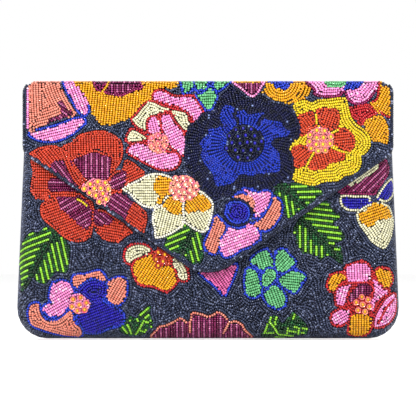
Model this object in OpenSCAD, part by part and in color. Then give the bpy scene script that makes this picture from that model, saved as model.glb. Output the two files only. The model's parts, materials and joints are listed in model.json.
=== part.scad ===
// Beaded clutch purse: a flat pouch of two stiffened panels, closed by a pointed
// flap that is carried over the mouth by a narrow fold panel.
// The front faces -Y, +X is to the right, and the origin is under the middle of the bag.

/* [Pouch] */
// Width across the bottom, in millimetres like every size here
pouch_w = 256; // [205:1:310]
// How much the pouch narrows on each side from its bottom to its mouth
side_taper = 7.5; // [0:0.5:12]
// Height of the closed bag
bag_h = 171; // [142:1:206]
// Radius of the two bottom corners
corner_r = 20; // [16:0.5:26]
// Depth of the room inside, from front to back
cavity_d = 9; // [7:0.5:11]

/* [Layers] */
// Thickness of the bead embroidery
bead_t = 1.8; // [1.5:0.1:2.2]
// Thickness of the ground cloth under the beads
cloth_t = 0.5; // [0.4:0.05:0.7]
// Thickness of the stiffening board
board_t = 0.8; // [0.6:0.05:1]
// Thickness of the satin lining
lining_t = 0.4; // [0.3:0.05:0.5]
// How far the tape that binds the side and bottom seams laps over the ground cloth
binding_lap = 0.2; // [0.1:0.05:0.5]
// Height of the tape that binds the mouth of the front panel
mouth_binding_h = 1.4; // [1:0.1:3]

/* [Flap] */
// Width of the flap and of its edge cord
flap_w = 246; // [205:1:300]
// Length of the straight sides, from the top of the bag to the shoulders
flap_side_l = 48; // [36:1:60]
// Length from the top of the bag to where the slanting edges would meet
flap_apex_l = 133; // [108:1:136]
// Radius that rounds the tip
tip_r = 27; // [16:1:34]
// Radius that rounds the shoulders
shoulder_r = 10; // [6:1:16]
// Radius of the top corners, seen from the front
top_r = 8; // [6:0.5:12]
// Thickness of the cord along the edge of the flap
edge_cord_t = 2.6; // [2:0.1:3.2]
// Room between the closed flap and the front panel
flap_gap = 1.6; // [1.6:0.1:2.2]

/* [Creases] */
// Gap left between a crease's pivot line and the end of the fold panel
crease_gap = 0.5; // [0.3:0.1:1]
// Clearance under the fold panel
fold_clearance = 0.4; // [0.3:0.1:0.8]

/* [Snap] */
// Diameter of the two snap plates
snap_d = 18; // [14:0.5:20]
// Diameter of the stud
stud_d = 4.5; // [3.5:0.25:5]
// How far the stud stands out from its plate
stud_l = 1.5; // [1:0.1:1.8]
// Clearance round the stud
stud_clearance = 0.5; // [0.3:0.05:0.8]
// Thickness of the stud's plate
stud_plate_t = 1; // [0.8:0.1:1]
// How far the socket stands out from the beads
socket_proud = 0.2; // [0.1:0.05:0.2]
// Thickness of the socket's face
socket_face_t = 0.6; // [0.5:0.05:0.7]
// Thickness of the socket's side wall
socket_wall = 1.8; // [1.6:0.1:2]
// Bore of the ring magnet
magnet_bore = 7; // [6:0.5:8]
// Clearance round the magnet, the washers and the plates
snap_fit = 0.2; // [0.1:0.05:0.4]
// Height of the snap above the tip of the flap
snap_up = 18; // [15:1:30]
// Width of a prong
prong_w = 4; // [3:0.25:5]
// Thickness of a prong
prong_t = 0.7; // [0.5:0.05:0.8]
// Distance of the middle of each prong from the rim of the socket
prong_rim = 1; // [0.6:0.1:1.2]
// Distance of the stud plate's prongs from its middle
stud_prong_at = 5; // [4:0.1:6]
// How much wider a washer is than the distance between its prongs
washer_rim = 1.2; // [1:0.1:2]

/* [Slip pocket] */
// Width of the pocket
pocket_w = 150; // [110:1:160]
// Height of the pocket
pocket_h = 92; // [70:1:96]
// Room inside the pocket
pocket_d = 1; // [0.8:0.1:1.4]
// Width of its side and bottom seams
pocket_seam = 3; // [2:0.5:5]
// Height of the pocket above the bottom of the bag
pocket_z = 26; // [20:1:32]
// Height of the hem along its top
hem_h = 9; // [6:0.5:14]
// Thickness of the hem
hem_t = 0.5; // [0.3:0.1:0.6]

/* [Flower centres] */
// Diameter of a sequin
sequin_d = 3.4; // [2.8:0.1:4.2]
// Thickness of a sequin
sequin_t = 0.3; // [0.2:0.05:0.4]
// Diameter of the bead that holds a sequin
centre_bead_d = 2.4; // [1.8:0.1:2.8]
// Height of that bead
centre_bead_h = 1.3; // [1:0.1:1.6]
// Spread of the sequins in a centre, as a share of a sequin's diameter
sequin_spread = 0.66; // [0.66:0.01:0.8]

/* [Hidden] */

$fn = 48;
arc_steps = 6;           // straight steps that stand for a quarter turn of a rim
golden_angle = 137.508;  // turn from one sequin of a centre to the next

panel_t = bead_t + cloth_t + board_t + lining_t;
fold_t = bead_t + cloth_t + lining_t;
shell_r = cavity_d + panel_t;
binding_w = bead_t + binding_lap;
centre_t = sequin_t + centre_bead_h;
total_t = panel_t + shell_r + flap_gap + panel_t + centre_t;

// Planes that face front and back, from the back of the bag to its front
back_y = total_t / 2;
seam_y = back_y - panel_t;
front_y = seam_y - shell_r;
flap_in_y = front_y - flap_gap;
flap_out_y = flap_in_y - panel_t;

// Each crease bends about the middle of the ground cloth
pivot_d = bead_t + cloth_t / 2;
pivot_z = bag_h - pivot_d;
back_pivot_y = back_y - pivot_d;
flap_pivot_y = flap_out_y + pivot_d;
panel_top_z = bag_h - fold_t - fold_clearance;
front_top_z = panel_top_z - mouth_binding_h;

// The slanting sides of the pouch, and the centres of its bottom corners
side_angle = atan(side_taper / bag_h);
corner_x = pouch_w / 2 - corner_r * (1 + sin(side_angle)) / cos(side_angle);
function half_w(z) = pouch_w / 2 - z * tan(side_angle);

// The flap's outline: edges, tip and the snap that follows the tip
flap_half = flap_w / 2;
shoulder_z = bag_h - flap_side_l;
apex_z = bag_h - flap_apex_l;
slant = atan((shoulder_z - apex_z) / flap_half);
tip_z = apex_z + tip_r * (1 / cos(slant) - 1);
snap_z = tip_z + snap_up;

// Snap pieces: the socket sits in a hole in the beads, on the ground cloth
socket_t = bead_t + socket_proud;
socket_y = front_y - socket_proud;
magnet_t = socket_t - socket_face_t;
magnet_d = snap_d - 2 * socket_wall;
prong_at = snap_d / 2 - prong_rim;
socket_washer_d = 2 * prong_at + prong_t + 2 * washer_rim;
stud_washer_d = 2 * stud_prong_at + prong_t + 2 * washer_rim;

function mirrored(points) = [for (i = [len(points) - 1:-1:0]) [-points[i][0], points[i][1]]];
function arc(x, z, r, from, to, steps) =
    [for (k = [0:steps]) let (t = from + (to - from) * k / steps) [x + r * cos(t), z + r * sin(t)]];

// The right half of the flap's outline, from the crease down to the tip, moved in by inset
function flap_half_outline(inset) =
    let (
        top_turn = asin((panel_top_z - (bag_h - top_r)) / (top_r - inset)),
        shoulder_drop = shoulder_r * tan((90 - slant) / 2),
        shoulder_x = flap_half - shoulder_r,
        shoulder_c = shoulder_z + shoulder_drop,
        tip_c = tip_z + tip_r
    )
    concat(
        arc(flap_half - top_r, bag_h - top_r, top_r - inset, top_turn, 0, arc_steps),
        arc(shoulder_x, shoulder_c, shoulder_r - inset, 0, slant - 90, arc_steps),
        arc(0, tip_c, tip_r - inset, slant - 90, -90, arc_steps)
    );
function flap_outline(inset) =
    concat(flap_half_outline(inset), mirrored(flap_half_outline(inset)));

// A flat layer that stands upright, from y to y + t
module layer(y, t) {
    translate([0, y + t, 0])
        rotate([90, 0, 0])
            linear_extrude(t)
                children();
}

// Where the rim of the front panel lies, for a rounding radius r turned by a fraction of a
// quarter: columns run down the left side, round both corners and up the right side
function column_angles() =
    [for (k = [0:arc_steps]) side_angle - (90 + side_angle) * k / arc_steps];
function rim_column(sign, t, out) =
    let (r = corner_r - shell_r + out)
    [sign * (corner_x + r * cos(t)), corner_r + r * sin(t)];
function rim_top(sign, out, top_z) =
    [sign * (half_w(top_z) - (shell_r - out) / cos(side_angle)), top_z];
function rim_row(out, top_z) =
    concat(
        [rim_top(-1, out, top_z)],
        [for (t = column_angles()) rim_column(-1, t, out)],
        [for (k = [arc_steps:-1:0]) rim_column(1, column_angles()[k], out)],
        [rim_top(1, out, top_z)]
    );

// The pouch seen from the front, moved in by inset
module pouch_outline(inset, top_z) {
    polygon(rim_row(shell_r - inset, top_z));
}

function shell_points(r, top_z) =
    [for (i = [0:arc_steps])
        let (turn = 90 * i / arc_steps)
        for (p = rim_row(r * sin(turn), top_z)) [p[0], seam_y - r * cos(turn), p[1]]];

// One layer of the front panel: flat in front, its sides and bottom rounded back to the seam
module front_layer(inner_r, outer_r, top_z) {
    columns = 2 * arc_steps + 4;
    count = columns * (arc_steps + 1);
    last = columns - 1;
    function at(i, j, shell) = shell * count + i * columns + j;
    polyhedron(
        points = concat(shell_points(outer_r, top_z), shell_points(inner_r, top_z)),
        faces = concat(
            [[for (j = [0:last]) at(0, last - j, 0)]],
            [[for (j = [0:last]) at(0, j, 1)]],
            [for (i = [0:arc_steps - 1], j = [0:last - 1])
                [at(i, j, 0), at(i, j + 1, 0), at(i + 1, j + 1, 0), at(i + 1, j, 0)]],
            [for (i = [0:arc_steps - 1], j = [0:last - 1])
                [at(i, j, 1), at(i + 1, j, 1), at(i + 1, j + 1, 1), at(i, j + 1, 1)]],
            [for (j = [0:last - 1])
                [at(arc_steps, j, 0), at(arc_steps, j + 1, 0), at(arc_steps, j + 1, 1), at(arc_steps, j, 1)]],
            [for (i = [0:arc_steps - 1])
                [at(i, 0, 0), at(i + 1, 0, 0), at(i + 1, 0, 1), at(i, 0, 1)]],
            [for (i = [0:arc_steps - 1])
                [at(i + 1, last, 0), at(i, last, 0), at(i, last, 1), at(i + 1, last, 1)]],
            [[at(0, last, 0), at(0, 0, 0), at(0, 0, 1), at(0, last, 1)]]
        )
    );
}

// A disc across the snap's own line, from y to y + t
module snap_disc(d, y, t) {
    translate([0, y + t, snap_z])
        rotate([90, 0, 0])
            cylinder(d = d, h = t);
}

// The two prongs of a snap plate, or the slots they pass through
module prongs(at, y, t, room) {
    for (side_x = [-at, at])
        translate([side_x - prong_t / 2 - room, y, snap_z - prong_w / 2 - room])
            cube([prong_t + 2 * room, t, prong_w + 2 * room]);
}

// Sequins set in a sunflower pattern, each with a bead on it, standing forward from y
function sunflower(i) =
    let (r = sequin_spread * sequin_d * sqrt(i + 0.5), turn = golden_angle * i)
    [r * cos(turn), r * sin(turn)];

module flower_centre(x, z, y, count) {
    for (i = [0:count - 1])
        translate([x + sunflower(i)[0], y, z + sunflower(i)[1]])
            rotate([90, 0, 0]) {
                cylinder(d = sequin_d, h = sequin_t);
                cylinder(d = centre_bead_d, h = centre_t);
            }
}

// Back panel, from the outside in
module back_beads() {
    color("midnightblue")
        layer(back_y - bead_t, bead_t)
            pouch_outline(0, panel_top_z);
}

module back_cloth() {
    color("black")
        layer(back_y - bead_t - cloth_t, cloth_t)
            pouch_outline(binding_w, panel_top_z);
}

module back_board() {
    color("tan")
        layer(seam_y + lining_t, board_t)
            pouch_outline(binding_w, panel_top_z);
}

module back_lining() {
    color("darkslategray")
        layer(seam_y, lining_t)
            pouch_outline(binding_w, panel_top_z);
}

module slip_pocket() {
    color("slategray")
        difference() {
            translate([-pocket_w / 2, seam_y - pocket_d - lining_t, pocket_z])
                cube([pocket_w, pocket_d + lining_t, pocket_h]);
            translate([-pocket_w / 2 + pocket_seam, seam_y - pocket_d, pocket_z + pocket_seam])
                cube([pocket_w - 2 * pocket_seam, 2 * pocket_d, pocket_h]);
        }
}

module slip_pocket_hem() {
    color("dimgray")
        translate([-pocket_w / 2, seam_y - pocket_d - lining_t - hem_t, pocket_z + pocket_h - hem_h])
            cube([pocket_w, hem_t, hem_h]);
}

// Front panel, from the outside in
module front_beads() {
    color("slateblue")
        difference() {
            front_layer(shell_r - bead_t, shell_r, front_top_z);
            snap_disc(snap_d + 2 * snap_fit, front_y - 1, bead_t + 1);
        }
}

module front_cloth() {
    color("black")
        difference() {
            front_layer(shell_r - bead_t - cloth_t, shell_r - bead_t, front_top_z);
            prongs(prong_at, front_y + bead_t - 1, cloth_t + 2, snap_fit);
        }
}

module front_board() {
    color("tan")
        difference() {
            front_layer(cavity_d + lining_t, cavity_d + lining_t + board_t, front_top_z);
            snap_disc(socket_washer_d + 2 * snap_fit, front_y + bead_t + cloth_t - 1, board_t + 2);
        }
}

module front_lining() {
    color("darkslategray")
        front_layer(cavity_d, cavity_d + lining_t, front_top_z);
}

module edge_binding() {
    color("darkslateblue")
        layer(seam_y, panel_t - bead_t)
            difference() {
                pouch_outline(0, panel_top_z);
                pouch_outline(binding_w, panel_top_z);
            }
}

// The mouth seen from above, for a rounding radius r
module mouth_outline(r) {
    x = half_w(front_top_z) - shell_r / cos(side_angle);
    translate([-x, -r])
        square([2 * x, r]);
    for (side_x = [-x, x])
        translate([side_x, 0])
            intersection() {
                circle(r);
                translate([-r, -2 * r])
                    square(2 * r);
            }
}

module mouth_binding() {
    color("darkslateblue")
        translate([0, seam_y, front_top_z])
            linear_extrude(mouth_binding_h)
                difference() {
                    mouth_outline(shell_r);
                    mouth_outline(cavity_d);
                }
}

// Snap: the socket and its magnet on the front panel, the stud on the flap
module snap_socket() {
    color("silver")
        difference() {
            union() {
                snap_disc(snap_d, socket_y, socket_t);
                prongs(prong_at, socket_y + socket_t / 2, socket_t / 2 + cloth_t + board_t, 0);
            }
            snap_disc(magnet_d + 2 * snap_fit, socket_y + socket_face_t, socket_t);
            snap_disc(stud_d + 2 * stud_clearance, socket_y - 1, socket_t + 2);
        }
}

module snap_magnet() {
    color("gray")
        difference() {
            snap_disc(magnet_d, socket_y + socket_face_t, magnet_t);
            snap_disc(magnet_bore, socket_y, socket_t + 1);
        }
}

module snap_socket_washer() {
    color("silver")
        difference() {
            snap_disc(socket_washer_d, front_y + bead_t + cloth_t, board_t);
            prongs(prong_at, front_y + bead_t + cloth_t - 1, board_t + 2, snap_fit / 2);
        }
}

module snap_stud() {
    color("silver")
        union() {
            snap_disc(snap_d, flap_in_y, stud_plate_t);
            snap_disc(stud_d, flap_in_y + stud_plate_t, stud_l);
            prongs(stud_prong_at, flap_in_y - lining_t - board_t, lining_t + board_t, 0);
        }
}

module snap_stud_washer() {
    color("silver")
        difference() {
            snap_disc(stud_washer_d, flap_in_y - lining_t - board_t, board_t);
            prongs(stud_prong_at, flap_in_y - lining_t - board_t - 1, board_t + 2, snap_fit / 2);
        }
}

// Fold panel that joins the back to the flap over the mouth
module fold_layer(z, t) {
    x = flap_half - top_r;
    translate([-x, flap_pivot_y + crease_gap, z])
        cube([2 * x, back_pivot_y - flap_pivot_y - 2 * crease_gap, t]);
}

module fold_beads() {
    color("goldenrod")
        fold_layer(bag_h - bead_t, bead_t);
}

module fold_cloth() {
    color("black")
        fold_layer(bag_h - bead_t - cloth_t, cloth_t);
}

module fold_lining() {
    color("darkslategray")
        fold_layer(bag_h - fold_t, lining_t);
}

// Flap, from the outside in; its layers end at the cord along its edge
module flap_layer(y, t) {
    layer(y, t)
        polygon(flap_outline(edge_cord_t));
}

module flap_beads() {
    color("tomato")
        flap_layer(flap_out_y, bead_t);
}

module flap_cloth() {
    color("black")
        flap_layer(flap_out_y + bead_t, cloth_t);
}

module flap_board() {
    color("tan")
        difference() {
            flap_layer(flap_in_y - lining_t - board_t, board_t);
            snap_disc(stud_washer_d + 2 * snap_fit, flap_in_y - lining_t - board_t - 1, board_t + 2);
        }
}

module flap_lining() {
    color("darkslategray")
        difference() {
            flap_layer(flap_in_y - lining_t, lining_t);
            prongs(stud_prong_at, flap_in_y - lining_t - 1, lining_t + 2, snap_fit);
        }
}

module flap_edge_cord() {
    color("slategray")
        layer(flap_in_y - (panel_t + edge_cord_t) / 2, edge_cord_t)
            difference() {
                polygon(flap_outline(0));
                polygon(flap_outline(edge_cord_t));
            }
}

// Flower centres on the front panel, each placed by its height and its offset from the middle
module blue_flower_centre() {
    color("hotpink")
        flower_centre(-85.5, 23, front_y, 7);
}

module cream_flower_centre() {
    color("firebrick")
        flower_centre(-31, 49, front_y, 5);
}

module rose_flower_centre() {
    color("gold")
        flower_centre(103, 23, front_y, 7);
}

// Flower centres on the flap
module poppy_centre() {
    color("gold")
        flower_centre(-72.5, 99.5, flap_out_y, 12);
}

module pale_flower_centre() {
    color("mistyrose")
        flower_centre(-15.5, 100, flap_out_y, 14);
}

module navy_flower_centre() {
    color("royalblue")
        flower_centre(23, 129, flap_out_y, 19);
}

module yellow_flower_centre() {
    color("yellow")
        flower_centre(74, 131, flap_out_y, 13);
}

module pink_flower_centre() {
    color("lightpink")
        flower_centre(-33, 130, flap_out_y, 7);
}

back_beads();
back_cloth();
back_board();
back_lining();
slip_pocket();
slip_pocket_hem();
front_beads();
front_cloth();
front_board();
front_lining();
edge_binding();
mouth_binding();
snap_socket();
snap_magnet();
snap_socket_washer();
blue_flower_centre();
cream_flower_centre();
rose_flower_centre();
fold_beads();
fold_cloth();
fold_lining();
flap_beads();
flap_cloth();
flap_board();
flap_lining();
flap_edge_cord();
snap_stud();
snap_stud_washer();
poppy_centre();
pale_flower_centre();
navy_flower_centre();
yellow_flower_centre();
pink_flower_centre();
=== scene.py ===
import json
import math
import random
import bpy
import bmesh
import numpy as np
from mathutils import Matrix, Vector, noise


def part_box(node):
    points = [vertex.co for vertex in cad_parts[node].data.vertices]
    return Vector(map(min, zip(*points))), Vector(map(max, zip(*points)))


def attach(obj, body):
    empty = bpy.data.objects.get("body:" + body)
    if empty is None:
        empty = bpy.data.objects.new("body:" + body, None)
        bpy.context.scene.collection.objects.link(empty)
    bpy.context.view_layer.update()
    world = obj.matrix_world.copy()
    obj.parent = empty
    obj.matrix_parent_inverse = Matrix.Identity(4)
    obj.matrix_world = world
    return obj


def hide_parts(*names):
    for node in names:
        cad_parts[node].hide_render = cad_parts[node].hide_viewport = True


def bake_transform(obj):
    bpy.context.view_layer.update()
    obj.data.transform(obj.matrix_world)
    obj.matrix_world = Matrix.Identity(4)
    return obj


# A beaded clutch: seed-bead embroidery on a stiffened pouch and flap, satin inside, a magnetic snap.
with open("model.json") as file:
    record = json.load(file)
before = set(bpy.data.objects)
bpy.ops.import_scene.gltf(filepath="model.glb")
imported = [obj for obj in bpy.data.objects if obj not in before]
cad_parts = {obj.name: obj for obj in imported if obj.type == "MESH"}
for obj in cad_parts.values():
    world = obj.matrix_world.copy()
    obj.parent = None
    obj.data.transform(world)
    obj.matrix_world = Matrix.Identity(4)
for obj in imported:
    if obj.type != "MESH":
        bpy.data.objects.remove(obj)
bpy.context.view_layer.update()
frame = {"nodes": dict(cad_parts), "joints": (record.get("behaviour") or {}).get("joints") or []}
nodes = frame["nodes"]
print("frame loaded,", len(nodes), "nodes")


def low(node):
    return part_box(node)[0] * 1000


def high(node):
    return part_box(node)[1] * 1000


def crease(name):
    joint = [j for j in frame["joints"] if j["name"] == name][0]
    return Vector(joint["pos_m"]) * 1000


# The bag's planes and lines in millimetres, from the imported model, and the outline's radii
bag = {
    "top": high("fold_beads").z,
    "foldHalf": high("fold_beads").x,
    "foldUnder": low("fold_lining").z,
    "flapOut": low("flap_beads").y,
    "flapIn": high("flap_lining").y,
    "flapHalf": high("flap_edge_cord").x,
    "flapTop": high("flap_edge_cord").z,
    "tip": low("flap_edge_cord").z,
    "frontOut": low("front_beads").y,
    "seam": high("front_beads").y,
    "frontTop": high("front_beads").z,
    "backOut": high("back_beads").y,
    "backTop": high("back_beads").z,
    "halfWidth": 128.0,
    "sideAngle": math.atan(7.5 / 171),
    "cornerRadius": 20.0,
    "cornerX": 107.1,
    "tipRadius": 27.0,
    "shoulderZ": 123.0,
    "shoulderRadius": 10.0,
    "topRadius": 8.0,
    "slantDrop": 133.0,
}
flapPivot = crease("flap_crease")
backPivot = crease("back_crease")
bead = {"width": 1.94, "length": 1.34, "drawnLength": 1.44, "rowGap": 1.8, "jitter": 0.035, "tilt": 0.05}


# The embroidery, in millimetres as x,z on the closed bag. Each area is a colour, how its rows run, the
# colour of the row round it, and its outline. Rows run at an angle in degrees, side by side away from
# the flower's centre ("centre"), fanning out from it ("radial"), in rings round it, along the area's
# edge, or slanting off a leaf's midrib. Later areas lie over earlier ones. "rows" are single lines of
# beads: a colour, how many lie side by side, and the line. "swell" is how far a petal fills its outline.
salmonPetal = {
    "centre": (-103, 156),
    "areas": [
        ("salmon", "edge", None, "-118.4,184 -98,184 -98,172 -96,165 -93.5,160 -90,154 -87.5,148.5 "
         "-94,146.5 -99,144.5 -106,142 -112,140.5 -118.4,138.5"),
        ("plum", -35, None, "-99.5,157 -96.5,157.5 -93,153 -89,148.5 -94,147 -99,145 -106,143 -104,146 "
         "-98,149 -98,153"),
        ("pink", 112, "blueLine", "-95.5,186 -95,173 -92.5,165 -89,158.5 -85.5,152.5 -82.5,149.5 "
         "-80.5,151 -80,156 -83,162 -87,168 -89.5,174 -90,186"),
        ("pink", 14, "blueLine", "-117,136 -109,138 -101,140 -94,142.5 -87,145 -82.5,144.5 -86,140.5 "
         "-92,136 -98,133.3 -105,132 -112,133"),
    ],
    "rows": [("pink", 1, "-119.4,186 -119.4,160 -119.4,139")],
}
marigold = {
    "centre": (-56, 150),
    "areas": [
        ("golden", 84, None, "-92,184 -90,172 -83,163 -79.5,156 -76.5,149 -74,145 -70,142 -66,141 "
         "-62,142.5 -53,145.5 -48,148 -43,152 -38,157.5 -35,162 -30,165.5 -22,166.5 -19,171 -22,180 "
         "-34,187 -60,189 -82,188"),
        ("plum", 90, "magenta", "-78,176 -76,169 -74.5,165 -71,163.5 -68.5,168 -69,178"),
        ("plum", 90, "magenta", "-69,163 -62,161 -57,160.5 -49,164 -43,166 -45,172 -50,178 -60,180 "
         "-68,177 -69,168"),
    ],
    "rows": [("golden", 1, "-66,180 -66,170 -71,162.5")],
}
poppy = {
    "centre": (-73, 98),
    "areas": [
        ("coral", -50, "coral", "-119,120 -114,126 -108,128 -102,128.7 -97,126.5 -95,123.5 -91,111 "
         "-86,103 -84,98 -94,94 -108,104"),
        ("plum", -52, None, "-105,114 -100,118.5 -96,117.5 -92,110 -87,100 -92,94 -104,101"),
        ("coral", 92, "coral", "-97,127 -90,131 -86,135 -81,137 -74,138.3 -68,138 -63,136 -60,134 "
         "-57,131 -56,125 -57,119 -61,112 -70,103 -82,103 -88,108 -93,117"),
        ("plum", 90, "coral", "-91,119 -83,123 -75,125.5 -68,123 -62.5,121 -63,113 -66,104 -80,104 "
         "-86,110"),
        ("coral", 25, "coral", "-68,104 -62,111 -57,113 -55,119 -50,117.5 -45,113.5 -41.5,110 -44,106 "
         "-50,103 -56,98 -66,99"),
        ("plum", 25, None, "-66,103 -60,110 -55,112 -54,105 -57,99 -65,99"),
        ("coral", -35, "coral", "-66,98 -58,98 -49,91 -45,88 -41,84.5 -40,80 -41,75 -43,70 -50,72 "
         "-58,74 -66,82"),
        ("plum", -35, None, "-65,96 -57,97 -52,93 -49,90 -52,87 -54,81 -57,76 -62,80 -66,84 -67,92"),
        ("peach", "rings", None, "-84,99 -82,104 -76,106.5 -69,105 -64,101 -64,95 -67,89 -73,87 -79,90 "
         "-83,94"),
    ],
    "rows": [("coral", 2, "-96,124 -93,117 -90,110 -87,105 -83,101.5")],
}
pinkFlower = {
    "centre": (-33, 131),
    "swell": 0.3,
    "areas": [
        ("pink", 15, "red", "-34.5,163 -31,164 -27,162 -22,160 -11,160 -8.5,157 -6,153.5 -4,149 "
         "-6.5,145.5 -9,144.5 -10.5,148 -13.5,150.5 -18,153.5 -24,155 -30,157 -35.5,159.5"),
        ("cream", "edge", "red", "-36.5,156.5 -31,154 -25,152 -19,150.5 -14.5,149 -13.5,145 -11.5,142 "
         "-14.5,138.5 -17,141 -20,145 -23,150 -27,151.5 -31,150.5 -38,147.5 -41,144 -41,138 -45,140 "
         "-49.5,145 -47,148 -44,152 -40,156"),
        ("pink", "centre", "red", "-38.5,145.5 -34,146 -32.5,141 -31,137.5 -37,136.5 -39,139"),
        ("pink", "centre", "red", "-30.5,147 -27,148.5 -25,147 -22.5,143 -19,139 -16.5,135 -15.8,126 "
         "-17,122.5 -20,124.5 -24,128 -27,132 -29,137 -30,142"),
        ("cream", "edge", "red", "-50,138 -46,136.5 -41,132.8 -45,131.5 -52,131.5 -53,134"),
        ("pink", 15, "red", "-52.5,124 -51,127 -47,129 -40,128 -32,124 -26,123 -21,122 -19.5,119 "
         "-21,115 -26,113 -32,113.5 -38,116 -44,119 -49,122"),
        ("peach", "rings", None, "-40,130 -38,135 -33,137 -28,135 -26,130 -27,125 -32,123 -38,125"),
    ],
}
mintPetals = {
    "centre": (2, 160),
    "swell": 0.0,
    "areas": [
        ("mint", 80, "blueLine", "-18,176 -17,169 -15.5,163 -11,165 -10,170 -11,178"),
        ("mint", 90, "blueLine", "-9,178 -8,168 -6.5,165 -2,166 0,170 -1,179"),
        ("mint", "centre", "blueLine", "-7.5,162 -3.5,162 1.5,167 3,165 5.5,161 4,157 2,153 -1,153 "
         "-4,157"),
        ("mint", 90, "blueLine", "3,180 4,169 6,165 8.5,166 12,169 15,172 13,180"),
    ],
}
navyFlower = {
    "centre": (24, 129),
    "areas": [
        ("navy", "radial", "navy", "4,151 6,158 12,164 17,168 22,163 28,159 34,161.5 38,160 43,156.5 "
         "50,155 55,152 58,148 60.5,144 61.5,140 61,135 54,127 56.5,122 57,116 57,110 55,105.5 49,104 "
         "44,101 40,98.5 35,97 28,99 24,96 18,94 10,94 5,92 2,94 -3,98.5 -8,104 -14,112 -15,117 -16,124 "
         "-15.5,131 -14.5,137 -12,142 -8,145 -5,149 0,151"),
        ("azure", "radial", "azure", "8,149 11,155 17,154 19,151 24,152 27,149 36,150 38,146 48,144 "
         "50,141 54,137 52,134 45,133 42,129 47,124 48,118 48,113 46,110.5 34,109.5 29,108 22,109 "
         "19,106 16,103 12,102 6,101 4,105 3,109 0,113 -3,117 -5,122 -4,126 -5,131 0,136 0,139 6,140 "
         "10,141 8,145"),
        ("navy", "rings", None, "12,129 14,137 20,141.5 28,141.5 34,138 37,131 35,123 29,118 20,117.5 "
         "14,121"),
    ],
    "rows": [("navy", 1, "20,143 18,148 19,152"), ("navy", 1, "33,142 36,147 38,149")],
}
plumPetal = {
    "centre": (28, 170),
    "areas": [
        ("plum", 90, "pink", "16,171 22,165 28.5,160 33,162 35.5,166 37,171"),
        ("golden", 5, None, "17,171 37,171 38,184 18,186"),
    ],
}
goldenFlower = {
    "centre": (48, 170),
    "areas": [
        ("golden", "rings", None, "36,178 38,168 35,163 39,161 44,158 50,156 55,155.5 60,158 65,159.5 "
         "67.5,163 69,166 66,174 60,184 46,188 38,186"),
        ("blueLine", "rings", None, "38,174 40,170 43,168 47,165.5 52,165.5 55,168 56,174 51,180 42,180"),
    ],
}
roseFlower = {
    "centre": (92, 172),
    "areas": [
        ("pink", "edge", "magenta", "63,176 65,169 69.5,165 70,162 74,160 83,159.7 88.5,161 90,163 "
         "92,158.5 96,155.5 101,154.8 106,157 109.5,161 112.5,165 114,172 112,184 96,189 74,188 64,184"),
        ("mint", "edge", None, "78,168 85,166.5 90,167.5 94,172 94,180 82,182 78,176"),
        ("blueLine", 60, None, "89.5,166 92,165 97,165.5 101,168 103,173 102,181 96,180 93,172"),
    ],
}
cornerPetals = {
    "centre": (120, 158),
    "areas": [
        ("golden", 60, "red", "116,182 114.5,166 118.5,168 121,163 122,155 121.5,149 118,149.5 114,152 "
         "110,155.5 114,160"),
        ("red", "edge", None, "93,153 96,154.5 106,156 112,150 108,147 105,145 101.5,141 98,144.5 "
         "94.5,148"),
        ("golden", 60, "golden", "103,142 104.5,145.5 109,147 114,148.5 117,146 119,142 120,137 "
         "119.5,131 118,129 113,130.5 107,131 106,135 104,139"),
    ],
    "rows": [("golden", 1, "108,156.5 112,151.5 114,149")],
}
yellowFlower = {
    "centre": (74, 131),
    "swell": 0.9,
    "areas": [
        ("yellow", "edge", "yellow", "57,154.5 61,157 65,157.5 69,156 73,158 80,158.5 90,159.5 92,156 "
         "93,151 94.5,146.5 98,142 103,138.5 106.5,134 107,128 104,123.5 101,121.5 101,116.5 99,112 "
         "95,109.5 90,108.5 86,105.5 76,104.5 72,102.5 67,102.5 58,105 56.5,108 57,116 56,124 52,128 "
         "53,132 58,134 61.5,141 60,147"),
        ("brick", "centre", "brick", "60,146.5 63,148.5 69,150 70,146 72,142 68,139 62,135"),
        ("brick", "centre", "brick", "72.5,151.5 79,152.5 85,151.5 86.5,148 86,142.5 81,138.5 77,140 "
         "74,144"),
        ("brick", "centre", "brick", "82,137.5 88,139.5 93,138 96.5,133 96.5,128 94,125.5 88,127 83,130"),
        ("brick", "centre", "brick", "70,124 78,125.5 84,126 89,124.5 90,120 86,118 80,116.5 77,113.5 "
         "72,112.5 68,113 66.5,116"),
        ("brick", "centre", "brick", "58.5,114.5 63,115 66,118 68.5,124 65,127 60,128 56,125"),
        ("peach", "rings", None, "67,126 66,132 68,136.5 72,139.5 78,139 82,134 82,129 78,125 72,124.5"),
    ],
    "rows": [("yellow", 1, "82,136.5 87,139"), ("yellow", 1, "82,127 88,124.5 95,123"),
             ("yellow", 1, "70,123.5 66,116 64,112"), ("yellow", 1, "72,143 71.5,150")],
}
creamFlower = {
    "centre": (-16, 100),
    "areas": [
        ("cream", 0, "white", "-57,99.5 -52,103 -46,106 -41,109 -36,110.2 -30,109.8 -25,108 -22,106 "
         "-22,100 -26,94 -31,90 -36,86.5 -43,87.5 -48,91 -52,95.5"),
        ("golden", "centre", None, "-34,107 -30,108.5 -25.5,106 -22,102 -24,97 -28,93.5 -32,89.5 -34,90 "
         "-33,95 -36,100"),
        ("cream", 75, "white", "-36,86 -37.5,79 -36,73 -35.5,67 -32,66.5 -27,68 -22,70.5 -18,73.5 "
         "-16,77 -17,92 -26,94 -30,90"),
        ("golden", "centre", None, "-30.5,89 -26,94 -20,93 -17,90 -17,84 -20,82.5 -24.5,83 -28,87"),
        ("cream", "centre", "white", "-16.5,92 -16.5,78 -14,75.5 -9,72 -4,70.2 -1,71 1,75 3,81 4,87 "
         "3.5,91 0,95 -6,98.5"),
        ("golden", "centre", None, "-16,92 -12,94 -7,96.5 -2,94 1,90 2,86.5 -4,84 -8,84.5 -12,83 -15,84"),
        ("peach", "rings", None, "-26,99 -24,105 -18,108.5 -11,107.5 -6,103 -6,98 -10,93.5 -16,91.5 "
         "-22,93"),
    ],
}
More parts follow.
